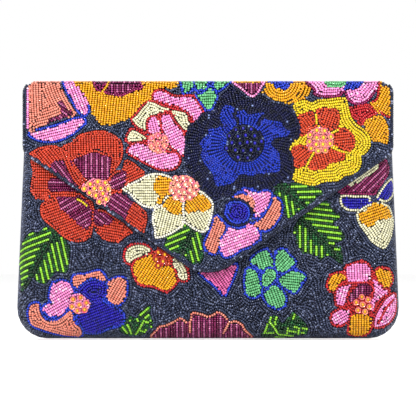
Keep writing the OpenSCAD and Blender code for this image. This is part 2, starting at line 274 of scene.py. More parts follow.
tipLeaf = {
    "midrib": ((-11, 70), (-18, 56)),
    "areas": [
        ("green", "leaf", None, "-17,75 -14,75.5 -10,71.5 -4,69.5 -3,66 -4,60 -3,55 -5,51 -8,49.5 "
         "-12,51 -17,56 -22,57 -27,58 -29,62 -28,66 -27,69 -20,71.5"),
    ],
    "rows": [("rib", 1, "-11,72 -14,62 -18.5,54")],
}
blueSwirl = {
    "centre": (20, 84),
    "areas": [
        ("pink", 30, "blueLine", "24,98.5 30,97 33,95.5 38,97 41,96 41,91 38.5,87 35,84 32,81 30,88 "
         "28,94"),
        ("salmon", 60, "blueLine", "44,93 47.5,90 47.5,84 45,79 42,75 38,73 31,75 35,78 38.5,82 41,87 "
         "43,91"),
        ("pink", 20, "blueLine", "14,73 19,72 25,74 28,75.5 31,73 33.5,68.5 31.5,65 27,62 21,60 16,56.5 "
         "11.5,55.5 9,59 8,63 9.5,66.5 12,70"),
        ("salmon", 70, "blueLine", "5.5,80 9,77 11,74 9,70 7,65 6,59 3,57.5 -0.5,60.5 -1,64 1.5,69 "
         "4,74.5"),
        ("salmon", 20, "blueLine", "18,93.5 23,95.5 28.5,93 30.5,88 30.5,83 28,86.5 24,89.5 20,91"),
        ("blueLine", "rings", "navy", "9,84 11,90 16,93.5 22,93 27,90 30,85 29,79 25,75.5 19,74.5 "
         "13,76.5 10,80"),
        ("royal", "rings", None, "13.5,84 15.5,88.5 20,90 25,87.5 26.5,83.5 24,79.5 19,78.5 15,80.5"),
    ],
}
flapLeaf = {
    "midrib": ((48, 101), (66, 86)),
    "areas": [
        ("green", "leaf", None, "44,101 50,103.5 62,103 71,101 75,98.5 76,96.5 73,94.5 70,91 67,89.5 "
         "60,84 57,81 53,80 50,84 51,88 47,92 43.5,95"),
    ],
    "rows": [("rib", 1, "48,101 55,95 60,91 67,86")],
}
poppyLower = {
    "centre": (-76, 92),
    "areas": [
        ("coral", 0, "coral", "-117.5,120 -117,110 -118.5,99 -117,96 -114.5,93.5 -107,91.5 -104.5,97 "
         "-100,110 -104,122"),
        ("plum", 0, None, "-104.5,106 -104.5,97 -95,97 -88,95.5 -80,97 -80,108"),
        ("coral", 20, "coral", "-107,92 -111,89 -111.5,85 -110.5,81 -108.5,78 -105,75 -101,71.5 -97,68 "
         "-93,65.5 -89,64 -82,64.5 -79.5,66.5 -77,69 -75,85 -80,96 -95,96"),
        ("plum", 30, None, "-100.5,94 -90,95 -82,93 -77,84.5 -78,75 -81,72.5 -84,74.5 -92,81.5 -98,87"),
        ("coral", -10, "coral", "-75,72 -72,68.5 -69,65.5 -60,64 -54,68 -50,71 -60,80 -70,86 -76,84"),
        ("plum", -40, None, "-76,86 -70,84 -62,80 -66,76 -73,74.5 -75.5,77"),
    ],
    "rows": [("coral", 2, "-104,95.5 -97,96 -88,95.8"), ("yellow", 1, "-86.5,92.5 -83.5,91 -80,88")],
}
leftLeaf = {
    "midrib": ((-102, 70), (-121, 35)),
    "areas": [
        ("green", "leaf", None, "-119,70 -113,71 -108,74.5 -103,73 -100,70 -95,66 -92,63 -91.5,57 "
         "-92.5,50 -94,44 -101,44 -107,37 -113,38 -118,42 -124,31 -125,40 -126,50 -125,60"),
    ],
    "rows": [("rib", 1, "-102,70 -106,62 -113,50 -119,38 -123,33")],
}
blueFlower = {
    "centre": (-86, 23),
    "swell": 0.3,
    "areas": [
        ("salmon", 10, "blueLine", "-89.5,40 -86,42 -82,42 -77,43.5 -73,44.5 -70,43 -68,38.5 -72,39 "
         "-76,41 -80,40 -84,37.5 -87,34 -88.5,36"),
        ("pink", 30, "blueLine", "-101,37 -97,38 -92,36 -90,32 -90.5,27 -94,20 -97,17.5 -101,15 -106,16 "
         "-109,19 -108,21.5 -104,24 -104.5,28 -103.5,34"),
        ("salmon", "edge", "blueLine", "-117.5,22 -113,23 -112,19 -110.5,15 -107,12 -103,11 -99,12 "
         "-95,15 -91.5,18 -90,14 -88,9.5 -84.5,6 -85,1.5 -92,1.5 -100,3 -111,6.5 -115,8 -118,11 -119,17"),
        ("royal", "edge", "blueLine", "-86,31 -83,35 -78,38 -72,38 -68,36 -67.5,31 -70,27 -75,25.5 "
         "-80,26 -83,28"),
        ("royal", 20, "blueLine", "-80,21 -76,25 -70,25 -66,22 -60,19 -57,16 -57,11 -60,9 -67,7 -73,4 "
         "-80,4 -83,8 -86,13 -84,18"),
        ("salmon", 60, "blueLine", "-66,37 -62,39.5 -58,40 -55,39 -54.5,34 -55,29 -57,25 -60,23 "
         "-64,24.5 -67,28 -66.5,33"),
        ("pink", "rings", None, "-91,28 -87,30 -82,28 -78,24 -80,19 -84,17 -89,18 -92,22"),
    ],
}
goldenBud = {
    "centre": (-31, 50),
    "areas": [
        ("cream", "edge", "red", "-54,56 -53,59 -48,61.5 -42,61 -39,58 -42,55.5 -48,54 -52,51 -54,53"),
        ("golden", "centre", "red", "-49,47 -47,51 -42,53 -36,55.5 -33.5,52 -31,48.5 -25,48 -22,43 "
         "-21.5,39 -24,35.5 -28,33 -36,36 -42,37 -46,39 -48,43"),
        ("cream", "edge", "red", "-23,52 -20,54 -17,49 -15,45 -14.5,40 -18,40 -20,44 -22,48"),
        ("brick", "rings", None, "-36,58 -31,62 -25,58 -24,52 -28,48 -33,49 -37,53"),
    ],
}
pinkTriangle = {
    "centre": (6, 36),
    "areas": [
        ("rose", -55, "blueLine", "-5,45 0,44 5,44 11,45.5 17.5,48.5 17,44 14.5,38 12,33 10.5,30 7,34 "
         "3,38 -1,41"),
    ],
}
mintFlower = {
    "centre": (40, 40),
    "areas": [
        ("mint", "centre", "blueLine", "29.5,52 33,55.5 38.5,58 41,54 43,49 39,48.5 35.5,46.5 32,48.5"),
        ("mint", "centre", "blueLine", "46,56 49.5,58.5 53,55 57,50.5 53,47 49,44.5 46,46.5"),
        ("mint", "centre", "blueLine", "26,44 28.5,45.5 32,43 33.5,38 34.5,34 33.5,30 29,28.5 26.5,31 "
         "25.5,37"),
        ("mint", "centre", "blueLine", "48,39.5 53,43 56,44.5 60,43.5 63.5,41 61,37 59.5,34 57,31.5 "
         "53,34 49.5,36.5"),
        ("mint", "centre", "blueLine", "38,29 41,32.5 44,34.5 48,32 50.5,27 49.5,23 46.5,21 42,23 39,26"),
        ("mint", "rings", "blueLine", "38,43 40,45.5 43.5,45 44.5,41.5 42.5,38.5 40,36 37,36 36.5,40"),
    ],
}
rightLeaf = {
    "midrib": ((62, 80), (89, 50)),
    "areas": [
        ("green", "leaf", None, "63,83 68,88 75,90.5 80,90.5 83,87 86,84 88,81 83,76 87,74 90.5,67 "
         "84,63 88,60.5 89,50 80,55 75,52.5 72,55 66,57 61,58 57,72 60,79"),
    ],
    "rows": [("rib", 1, "62,80 70,72 77,65 84,57 89,50")],
}
edgeFlower = {
    "centre": (106, 92),
    "areas": [
        ("plum", 45, "magenta", "86,98 92,102 100,108 108,114 115,119.5 119,119 121,112 118,105 "
         "113,98.5 110.5,95 100,95.5 89,95.5"),
        ("cream", 35, None, "93,101.5 99,103.3 104,106.3 109,110 112,113 114.5,117 119,127 104,121 "
         "90,108"),
        ("royal", 0, "cream", "88,95.3 98,95.3 106.8,95 108.2,91 106.5,86 99,84.5 92.5,85 88,88.5"),
        ("royal", 55, "cream", "111.5,94 115,99.5 119,104.5 122.5,107 124.5,103 124,97 121.5,92 "
         "118,90.5 114,91.5"),
        ("cream", "edge", "cream", "99,84.5 98.5,80 100.5,75 105,69 108,64.5 113,61 117.5,59.5 121,64 "
         "123,70 124,78 123,83 120,89 108,90"),
        ("golden", 20, None, "99,83 104,85 108,89 112,90 119,88 122,83 121,80 117,79 112,77.5 108,74 "
         "103,76 101,79"),
    ],
}
redFlower = {
    "centre": (102, 23),
    "swell": 0.2,
    "areas": [
        ("red", "edge", None, "88,37 94,39 100,39.5 108,39 112,33 112,20 108,15 97,16 91,20 87,30"),
        ("golden", 60, "red", "80.1,36.4 82.1,41.1 86.8,43 90.7,42.4 91.4,39.1 86.1,35.8 82.8,31.8 "
         "80.8,33.1"),
        ("pink", 92, "red", "91.4,45 93.4,47.7 98.7,49.7 102.7,50.3 106.6,47.7 108,43.7 106,38.4 "
         "98.7,37.7 94,38.4"),
        ("golden", 110, "red", "111.3,43.7 114.6,46.4 119.9,45 122.5,41.1 121.9,37.7 118.6,33.8 "
         "115.2,35.8 112.6,39.7"),
        ("pink", 75, "red", "86.8,33.1 90.7,35.8 94.7,35.1 92.7,30.5 91.4,25.2 89.4,22.5 86.1,23.2 "
         "85.4,27.8"),
        ("pink", 30, "red", "82.8,15.9 86.8,18.5 92.1,19.2 94.4,16.6 92.7,12.6 88.1,9.3 84.1,9.9 "
         "82.5,12.6"),
        ("plum", 90, None, "99,35.5 104,37.1 107.9,35.8 108.6,31.8 106.6,28.5 102.7,28 98,27 95,24 "
         "93.5,24 94,29 96.5,32"),
        ("golden", 90, "red", "95.4,14.6 98.7,16.6 104,16.6 108,14.6 108,9.3 106,4 101.4,2 94.7,2.6 "
         "94,6.6"),
        ("pink", -40, "red", "110,39.1 112.6,36.4 116.6,33.1 119.2,31.1 114.6,27.8 110.6,22.5 "
         "109.3,17.2 108.6,25.2 110.2,30.5"),
        ("pink", "edge", "red", "124.5,29.1 119.9,27.2 115.9,22.5 112,15.9 110.6,9.3 113.3,7.9 "
         "119.9,10.6 123.8,15.9 125.2,22.5"),
    ],
    "rows": [("red", 1, "123.5,26 119,21 115,14 113,9.5")],
}
leftSprig = {
    "midrib": ((-50, 2), (-47, 22)),
    "areas": [
        ("green", "leaf", None, "-54,2 -59,6 -56,10 -52,15 -48,14 -44,18 -38,22 -38,16 -36,10 -40,5 "
         "-44,2"),
    ],
    "rows": [("lime", 1, "-53.5,9 -52,6 -51,3"), ("lime", 1, "-48,2.5 -44,9 -42,13"),
             ("lime", 1, "-47,13 -46,10.5"), ("lime", 1, "-41,11 -38.5,10.5"), ("lime", 1, "-45,5 -42,4")],
}
halfFlower = {
    "centre": (-4, -6),
    "areas": [
        ("plum", 90, "salmon", "-34.5,-4 -34,7 -28,9.5 -23,12 -18,14.5 -13,11 -12,14 -11,18 -4,17 "
         "0,15.5 4,17 6.5,18.5 10,17 13,14 14,11.5 18,12.5 22,10.5 24.5,7 26,-4"),
    ],
    "rows": [("salmon", 1, "-12,11 -12,3"), ("salmon", 1, "14,11 10,3")],
}
rightSprig = {
    "midrib": ((40, 2), (62, 14)),
    "areas": [
        ("green", "leaf", None, "36,1 38,8 41,14 45,16 49,11 53,14 57,18 61,15 66,9 65,3 56,1 46,0"),
    ],
    "rows": [("lime", 1, "41,11 44,7 46.5,3"), ("lime", 1, "44.5,11 45,8.5"), ("lime", 1, "39,3.5 44,3.5"),
             ("lime", 1, "52.5,3 53,7"), ("lime", 1, "60,3 60.5,7")],
}
flapMotifs = {
    "salmon_petal": salmonPetal, "marigold": marigold, "poppy": poppy, "mint_petals": mintPetals,
    "plum_petal": plumPetal, "golden_flower": goldenFlower, "rose_flower": roseFlower,
    "corner_petals": cornerPetals, "flap_leaf": flapLeaf, "tip_leaf": tipLeaf,
    "yellow_flower": yellowFlower, "pink_flower": pinkFlower, "navy_flower": navyFlower,
    "blue_swirl": blueSwirl, "cream_flower": creamFlower,
}
frontMotifs = {
    "left_leaf": leftLeaf, "right_leaf": rightLeaf, "poppy_lower": poppyLower, "edge_flower": edgeFlower,
    "blue_flower": blueFlower, "golden_bud": goldenBud, "pink_triangle": pinkTriangle,
    "mint_flower": mintFlower, "red_flower": redFlower, "left_sprig": leftSprig,
    "half_flower": halfFlower, "right_sprig": rightSprig,
}


# Colour of the beads: the glass, how metallic it is, and the odd beads among them with their share
beadColours = {
    "ground": ("#343c56", 0.35, [("#20263c", 0.25), ("#5e6682", 0.12)]),
    "edge": ("#2a3048", 0.4, [("#181e30", 0.35), ("#8088a4", 0.12)]),
    "thread": ("#3a4a7c", 0.0, []),
    "navy": ("#0a103c", 0.2, [("#060a24", 0.3), ("#6c7cac", 0.025)]),
    "royal": ("#180c9c", 0.0, [("#120884", 0.3)]),
    "azure": ("#0c2ca4", 0.0, [("#0a2290", 0.3)]),
    "blueLine": ("#1a36b8", 0.0, [("#1430a4", 0.3)]),
    "coral": ("#c0381e", 0.0, [("#ac2e18", 0.3)]),
    "plum": ("#640a3c", 0.3, [("#7c1850", 0.3)]),
    # painted sheen: a lighter plum that stands in for the highlight along every other plum row
    "orchid": ("#b4608c", 0.35, [("#943c70", 0.35)]),
    "magenta": ("#8c1054", 0.1, [("#780a46", 0.3)]),
    "rose": ("#d4649e", 0.0, [("#c04c88", 0.3)]),
    "golden": ("#e09e06", 0.0, [("#d89004", 0.3)]),
    "yellow": ("#dec21a", 0.0, [("#d6b410", 0.3)]),
    "pink": ("#e884c0", 0.0, [("#f8a4d2", 0.25), ("#f8c8e4", 0.05)]),
    "salmon": ("#de8672", 0.0, [("#d67864", 0.3)]),
    "peach": ("#f4a488", 0.0, [("#f07ca0", 0.4)]),
    "cream": ("#dad6b4", 0.0, [("#cecaa4", 0.3)]),
    "white": ("#e4e0d0", 0.0, [("#dad6c4", 0.3)]),
    "lime": ("#8ccc34", 0.0, [("#7cbc28", 0.3)]),
    "green": ("#08401a", 0.05, [("#052c10", 0.35), ("#125a28", 0.1)]),
    "rib": ("#04260e", 0.0, [("#063414", 0.3)]),
    "mint": ("#66b478", 0.0, [("#54a066", 0.3)]),
    "red": ("#b81c24", 0.0, [("#a0161c", 0.3)]),
    "brick": ("#c8401e", 0.0, [("#b03418", 0.3)]),
}


def linear(hexColour):
    channels = [int(hexColour[i:i + 2], 16) / 255 for i in (1, 3, 5)]
    return [c / 12.92 if c < 0.04045 else ((c + 0.055) / 1.055) ** 2.4 for c in channels]


def pairs(text):
    return [tuple(float(n) for n in pair.split(",")) for pair in text.split()]


def smoothPath(points, closed, step=0.5):
    # a Catmull-Rom curve through the points, walked in even steps
    last = len(points)
    walked = []
    for i in range(last if closed else last - 1):
        near = [i + k for k in (-1, 0, 1, 2)]
        near = [k % last if closed else min(max(k, 0), last - 1) for k in near]
        before, start, end, after = (np.array(points[k]) for k in near)
        count = max(2, int(np.linalg.norm(end - start) / step))
        for t in np.arange(count) / count:
            walked.append(0.5 * (2 * start + (end - before) * t
                                 + (2 * before - 5 * start + 4 * end - after) * t ** 2
                                 + (3 * start - before - 3 * end + after) * t ** 3))
    if not closed:
        walked.append(np.array(points[-1]))
    return np.array(walked)


def insideOutline(path, x, z):
    inside = np.zeros(x.shape, bool)
    for (x0, z0), (x1, z1) in zip(path, np.roll(path, -1, 0)):
        if z0 != z1:
            crosses = (z0 > z) != (z1 > z)
            inside ^= crosses & (x < x0 + (z - z0) * (x1 - x0) / (z1 - z0))
    return inside


def arcPoints(x, z, radius, start, end, steps=8):
    turns = [math.radians(start + (end - start) * k / steps) for k in range(steps + 1)]
    return [(x + radius * math.cos(t), z + radius * math.sin(t)) for t in turns]


def flapOutline(inset):
    slant = math.degrees(math.atan((bag["shoulderZ"] - (bag["top"] - bag["slantDrop"])) / bag["flapHalf"]))
    radius = bag["shoulderRadius"]
    shoulder = (bag["flapHalf"] - radius, bag["shoulderZ"] + radius * math.tan(math.radians(90 - slant) / 2))
    topCorner = (bag["flapHalf"] - bag["topRadius"], bag["top"] - bag["topRadius"])
    topTurn = math.degrees(math.asin(min(1, (bag["flapTop"] - topCorner[1]) / (bag["topRadius"] - inset))))
    half = arcPoints(*topCorner, bag["topRadius"] - inset, topTurn, 0)
    half += arcPoints(*shoulder, radius - inset, 0, slant - 90)
    half += arcPoints(0, bag["tip"] + bag["tipRadius"], bag["tipRadius"] - inset, slant - 90, -90)
    return half + [(-x, z) for x, z in reversed(half)]


def backOutline(inset):
    angle = math.degrees(bag["sideAngle"])
    topX = bag["halfWidth"] - bag["backTop"] * math.tan(bag["sideAngle"]) - inset
    half = [(topX, bag["backTop"])]
    half += arcPoints(bag["cornerX"], bag["cornerRadius"], bag["cornerRadius"] - inset, angle, -90)
    return half + [(-x, z) for x, z in reversed(half)]


# The wrap runs up the flap, over the fold and down the back: x across, and v the way along the beads
halfBead = 0.9
arcRadius = bag["top"] - flapPivot.z - halfBead
arcLength = arcRadius * math.pi / 2
foldDepth = backPivot.y - flapPivot.y
flapEnd = flapPivot.z
foldStart = flapEnd + arcLength
foldEnd = foldStart + foldDepth
backStart = foldEnd + arcLength
wrapMiddle = (foldStart + foldEnd) / 2


def placeOnWrap(x, v):
    across = (1, 0, 0)
    if v <= flapEnd:
        return (x, bag["flapOut"] + halfBead, v), (0, -1, 0), across, (0, 0, 1)
    if v <= foldStart:
        t = (v - flapEnd) / arcRadius
        s, c = math.sin(t), math.cos(t)
        return (x, flapPivot.y - arcRadius * c, flapPivot.z + arcRadius * s), (0, -c, s), across, (0, s, c)
    if v <= foldEnd:
        return (x, flapPivot.y + v - foldStart, bag["top"] - halfBead), (0, 0, 1), across, (0, 1, 0)
    if v <= backStart:
        t = (v - foldEnd) / arcRadius
        s, c = math.sin(t), math.cos(t)
        return (x, backPivot.y + arcRadius * s, backPivot.z + arcRadius * c), (0, s, c), across, (0, c, -s)
    return (x, bag["backOut"] - halfBead, backPivot.z - (v - backStart)), (0, 1, 0), across, (0, 0, -1)


# The front is unrolled: past the flat part, its rounded rim is laid out by the length of its arc
shell = bag["seam"] - bag["frontOut"]
rimRadius = shell - halfBead
rimLength = rimRadius * math.pi / 2


def rimDirection(x, v):
    # how far a point lies outside the flat part, and which way is straight out of it
    side, x = (1 if x >= 0 else -1), abs(x)
    slope = (math.cos(bag["sideAngle"]), math.sin(bag["sideAngle"]))
    dx, dv = x - bag["cornerX"], v - bag["cornerRadius"]
    if dx * slope[1] - dv * slope[0] < 0:
        lineX = bag["halfWidth"] - v * math.tan(bag["sideAngle"]) - shell / slope[0]
        return (x - lineX) * slope[0], side * slope[0], slope[1]
    if dx < 0:
        return shell - v, 0.0, -1.0
    far = math.hypot(dx, dv) or 1e-6
    return far - (bag["cornerRadius"] - shell), side * dx / far, dv / far


def placeOnFront(x, v):
    out, nx, nz = rimDirection(x, v)
    if out <= 0:
        return (x, bag["frontOut"] + halfBead, v), (0, -1, 0), (1, 0, 0), (0, 0, 1)
    t = out / rimRadius
    s, c = math.sin(t), math.cos(t)
    spread = rimRadius * s - out
    place = (x + nx * spread, bag["seam"] - rimRadius * c, v + nz * spread)
    outward = (nx * c, s, nz * c)
    # the sideways direction keeps its length on the straight rims and shrinks round a corner
    flat = (-nz, nx)
    squeeze = 1.0
    if abs(nx) < 0.999 and abs(nz) < 0.999 and abs(abs(nx) - math.cos(bag["sideAngle"])) > 1e-6:
        flatRadius = bag["cornerRadius"] - shell
        squeeze = (flatRadius + rimRadius * s) / (flatRadius + out)

    def turned(a, b):
        radial, sideways = a * nx + b * nz, (a * flat[0] + b * flat[1]) * squeeze
        return (radial * outward[0] + sideways * flat[0], radial * outward[1],
                radial * outward[2] + sideways * flat[1])

    return place, (nx * s, -c, nz * s), turned(1, 0), turned(0, 1)


def unrollFront(point):
    out, nx, nz = rimDirection(*point)
    if out <= 0:
        return point
    further = rimRadius * math.asin(min(0.999, out / shell)) - out
    return point[0] + nx * further, point[1] + nz * further


# How rows follow a shape: the slant of a leaf's rows and the turn that ends a row, in radians, and how far
# an outline turns the rows inside it and the ground's rows round it, in millimetres
rowRules = {"leafSlant": 0.72, "sharpTurn": 0.7, "edgeReach": 30.0, "groundReach": 3.4}
farAway = 1e9


class Panel:
    # a flat map of one embroidered surface: which area owns each cell, and which way its rows run
    cell = 0.4

    def __init__(self, place, lowX, highX, lowV, highV):
        self.place = place
        self.x0, self.v0 = lowX, lowV
        across, along = int((highX - lowX) / self.cell), int((highV - lowV) / self.cell)
        self.owner = np.full((across, along), -1, int)
        self.angle = np.zeros((across, along))
        self.nearest = np.full((across, along), farAway)
        columns = lowX + (np.arange(across) + 0.5) * self.cell
        rows = lowV + (np.arange(along) + 0.5) * self.cell
        self.cellX, self.cellV = np.meshgrid(columns, rows, indexing="ij")
        self.areas = []
        self.stitchRows = []

    def at(self, x, v):
        i, j = int((x - self.x0) / self.cell), int((v - self.v0) / self.cell)
        if 0 <= i < self.owner.shape[0] and 0 <= j < self.owner.shape[1]:
            return i, j
        return None

    def window(self, path, extra=0.0):
        lowest, highest = path.min(0) - extra, path.max(0) + extra
        i0 = max(0, int((lowest[0] - self.x0) / self.cell))
        j0 = max(0, int((lowest[1] - self.v0) / self.cell))
        i1 = int((highest[0] - self.x0) / self.cell) + 2
        j1 = int((highest[1] - self.v0) / self.cell) + 2
        return (slice(i0, max(i0, i1)), slice(j0, max(j0, j1)))

    def followEdge(self, path, reach, wanted):
        # each wanted cell within reach of a path takes the direction of the stretch nearest to it
        nearest = self.nearest
        ahead = np.roll(path, -1, 0) - path
        for point, step in zip(path[::2], ahead[::2]):
            part = self.window(point[None], reach)
            far = np.hypot(self.cellX[part] - point[0], self.cellV[part] - point[1])
            closer = (far < nearest[part]) & (far < reach) & wanted(self.owner[part])
            nearest[part] = np.where(closer, far, nearest[part])
            self.angle[part] = np.where(closer, math.atan2(step[1], step[0]), self.angle[part])

    def paint(self, area, path, centre, midrib, flip):
        number = len(self.areas)
        self.areas.append(area)
        part = self.window(path)
        x, v = self.cellX[part], self.cellV[part]
        inside = insideOutline(path, x, v) & (self.owner[part] >= 0)
        rows = area["rows"]
        if rows == "centre":
            middle = path.mean(0)
            angle = np.full(x.shape, math.atan2(middle[1] - centre[1], middle[0] - centre[0]))
        elif rows == "radial":
            angle = np.arctan2(v - centre[1], x - centre[0])
        elif rows == "rings":
            angle = np.arctan2(v - centre[1], x - centre[0]) + math.pi / 2
        elif rows == "leaf":
            (ax, av), (bx, bv) = midrib
            along = math.atan2(bv - av, bx - ax)
            side = np.sign((bx - ax) * (v - av) - (bv - av) * (x - ax))
            angle = along + side * rowRules["leafSlant"]
        elif rows == "edge":
            angle = np.zeros(x.shape)
        else:
            angle = np.full(x.shape, math.radians(-rows if flip else rows))
        self.owner[part] = np.where(inside, number, self.owner[part])
        self.angle[part] = np.where(inside, angle, self.angle[part])
        self.nearest[part] = np.where(inside, farAway, self.nearest[part])
        if rows == "edge":
            self.followEdge(path, rowRules["edgeReach"], lambda owner: owner == number)
        area["path"] = path
        area["centroid"] = path.mean(0)
        area["midrib"] = midrib


lineColours = ("red", "blueLine")
usualSwell = 0.7


def addMotif(panel, name, motif, move):
    # move carries a point of the embroidery to the panel; a mirrored panel turns the rows over too
    flip = move((0.0, 1.0))[1] < move((0.0, 0.0))[1]
    centre = move(motif.get("centre", (0, 0)))
    midrib = [move(p) for p in motif["midrib"]] if "midrib" in motif else None
    areas = [(colour, rows, edge, smoothPath([move(p) for p in pairs(outline)], True))
             for colour, rows, edge, outline in motif["areas"]]
    swell = motif.get("swell", usualSwell)
    # a drawn line goes down first, as a band a row wide round its petals, and neighbours share it
    for colour, rows, edge, path in areas:
        if edge in lineColours and colour not in lineColours:
            band = {"name": name, "colour": edge, "rows": "edge", "edge": edge}
            panel.paint(band, insetPath(path, -bead["rowGap"] - swell), centre, midrib, flip)
    for colour, rows, edge, path in areas:
        lined = edge in lineColours and colour not in lineColours
        area = {"name": name, "colour": colour, "rows": rows, "edge": None if lined else edge}
        grown = insetPath(path, -swell) if lined or "swell" in motif else path
        panel.paint(area, grown, centre, midrib, flip)
    for colour, count, line in motif.get("rows", []):
        path = smoothPath([move(p) for p in pairs(line)], False, 0.2)
        panel.stitchRows.append((name, colour, count, path))


# The ground's rows swirl slowly: each wave has its size in radians, how fast it runs across and up the
# panel, and how much of the panel's drift it takes
swirls = [(1.5, 0.095, 0.06, 1), (1.3, 0.05, -0.125, 2), (0.9, 0.13, 0.21, 0)]


def setGround(panel, mask, name, drift):
    x, v = panel.cellX, panel.cellV
    panel.areas.append({"name": name, "colour": "ground", "rows": "swirl", "edge": None, "centroid": None})
    panel.owner[mask] = 0
    swirl = sum(size * np.sin(byX * x + byV * v + shift * drift) for size, byX, byV, shift in swirls)
    panel.angle[mask] = swirl[mask]


# Every bead laid so far is kept in a hash of 2 mm cubes, so that a new one is only compared with those
# near it. The shares say how close two beads may lie, of their full size: in grown rows, in drawn lines,
# and in the gaps left over. Past the square distance "clear" they never clash, and under "onTop" always.
packing = {"cube": 2, "rowShare": 0.95, "lineShare": 0.84, "gapShares": (0.82, 0.72), "step": 1.01,
           "clear": 3.6, "onTop": 0.3}
beadHash = {}
laidBeads = []
dice = random.Random(11)


def unit(vector):
    size = math.sqrt(sum(c * c for c in vector)) or 1.0
    return tuple(c / size for c in vector)


def tryBead(panel, x, v, angle, name, colour, share):
    # two beads clash where they are nearer than their half sizes along the line between them
    place, normal, across, along = panel.place(x, v)
    c, s = math.cos(angle), math.sin(angle)
    run = unit([c * across[i] + s * along[i] for i in range(3)])
    cube = tuple(int(math.floor(p / packing["cube"])) for p in place)
    halfLong, halfWide = bead["length"] / 2, bead["rowGap"] / 2
    for i in (-1, 0, 1):
        for j in (-1, 0, 1):
            for k in (-1, 0, 1):
                for other in beadHash.get((cube[0] + i, cube[1] + j, cube[2] + k), ()):
                    gap = (place[0] - other[0][0], place[1] - other[0][1], place[2] - other[0][2])
                    far = gap[0] * gap[0] + gap[1] * gap[1] + gap[2] * gap[2]
                    if far > packing["clear"]:
                        continue
                    if far < packing["onTop"]:
                        return False
                    a = (gap[0] * run[0] + gap[1] * run[1] + gap[2] * run[2]) ** 2 / far
                    b = (gap[0] * other[1][0] + gap[1] * other[1][1] + gap[2] * other[1][2]) ** 2 / far
                    need = (math.sqrt(halfLong ** 2 * a + halfWide ** 2 * (1 - a))
                            + math.sqrt(halfLong ** 2 * b + halfWide ** 2 * (1 - b)))
                    if far < (need * share) ** 2:
                        return False
    beadHash.setdefault(cube, []).append((place, run))
    laidBeads.append((place, run, normal, name, colour, x, v))
    return True


def layRow(panel, path, name, colour, owner):
    # beads threaded along a path at their own length, where the path's area is still on top
    walked = 0.0
    wanted = 0.0
    for here, there in zip(path[:-1], path[1:]):
        step = there - here
        size = math.hypot(*step)
        walked += size
        if walked < wanted:
            continue
        cell = panel.at(*here)
        if cell is None or panel.owner[cell] < 0 or (owner is not None and panel.owner[cell] != owner):
            continue
        facing = math.atan2(step[1], step[0])
        if tryBead(panel, here[0], here[1], facing, name, colour, packing["lineShare"]):
            walked, wanted = 0.0, bead["length"] * packing["step"]


def insetPath(path, distance):
    ahead = np.roll(path, -1, 0) - np.roll(path, 1, 0)
    normal = np.stack([-ahead[:, 1], ahead[:, 0]], 1) / np.maximum(np.hypot(*ahead.T), 1e-6)[:, None]
    turn = np.sum(path[:, 0] * np.roll(path[:, 1], -1) - np.roll(path[:, 0], -1) * path[:, 1])
    return path + normal * distance * (1 if turn > 0 else -1)


# Every other row differs: plum rows take a painted sheen, a lighter plum standing in for the highlight along
# the row, most of the time, and a leaf's rows turn to lime at a distance from the midrib, in millimetres
rowTints = {"plum": "orchid", "sheen": 0.85, "leafPlain": (1.4, 4.6)}
neverLime = 99.0


def rowTint(area, order):
    if area["rows"] == "leaf":
        return dice.uniform(*rowTints["leafPlain"]) if order % 2 else neverLime
    if area["colour"] in rowTints and order % 2 and dice.random() < rowTints["sheen"]:
        return rowTints[area["colour"]]
    return area["colour"]


def beadTint(area, tint, x, v):
    if area["rows"] != "leaf":
        return tint
    (ax, av), (bx, bv) = area["midrib"]
    off = abs((bx - ax) * (v - av) - (bv - av) * (x - ax)) / math.hypot(bx - ax, bv - av)
    return "lime" if off > tint else area["colour"]


def growRows(panel, number, seeds):
    # rows grow both ways from each seed, and every bead laid offers a seed to the rows beside it
    area = panel.areas[number]
    queue = [(x, v, 0) for x, v in seeds]
    head = 0
    while head < len(queue):
        x, v, order = queue[head]
        head += 1
        cell = panel.at(x, v)
        if cell is None or panel.owner[cell] != number:
            continue
        angle = panel.angle[cell]
        tint = rowTint(area, order)
        if not tryBead(panel, x, v, angle, area["name"], beadTint(area, tint, x, v), packing["rowShare"]):
            continue
        row = [(x, v, angle)]
        for way in (0.0, math.pi):
            px, pv, facing = x, v, angle + way
            while True:
                px += math.cos(facing) * bead["length"] * packing["step"]
                pv += math.sin(facing) * bead["length"] * packing["step"]
                cell = panel.at(px, pv)
                if cell is None or panel.owner[cell] != number:
                    break
                turn = (panel.angle[cell] - facing + math.pi / 2) % math.pi - math.pi / 2
                if abs(turn) > rowRules["sharpTurn"]:
                    break
                facing += turn
                shade = beadTint(area, tint, px, pv)
                if not tryBead(panel, px, pv, facing, area["name"], shade, packing["rowShare"]):
                    break
                row.append((px, pv, facing))
        for px, pv, facing in row:
            for side in (1, -1):
                queue.append((px - math.sin(facing) * bead["rowGap"] * side,
                              pv + math.cos(facing) * bead["rowGap"] * side, order + 1))


def sideways(path):
    # the unit normal at each point of an open path
    ahead = np.gradient(path, axis=0)
    return np.stack([-ahead[:, 1], ahead[:, 0]], 1) / np.maximum(np.hypot(*ahead.T), 1e-6)[:, None]


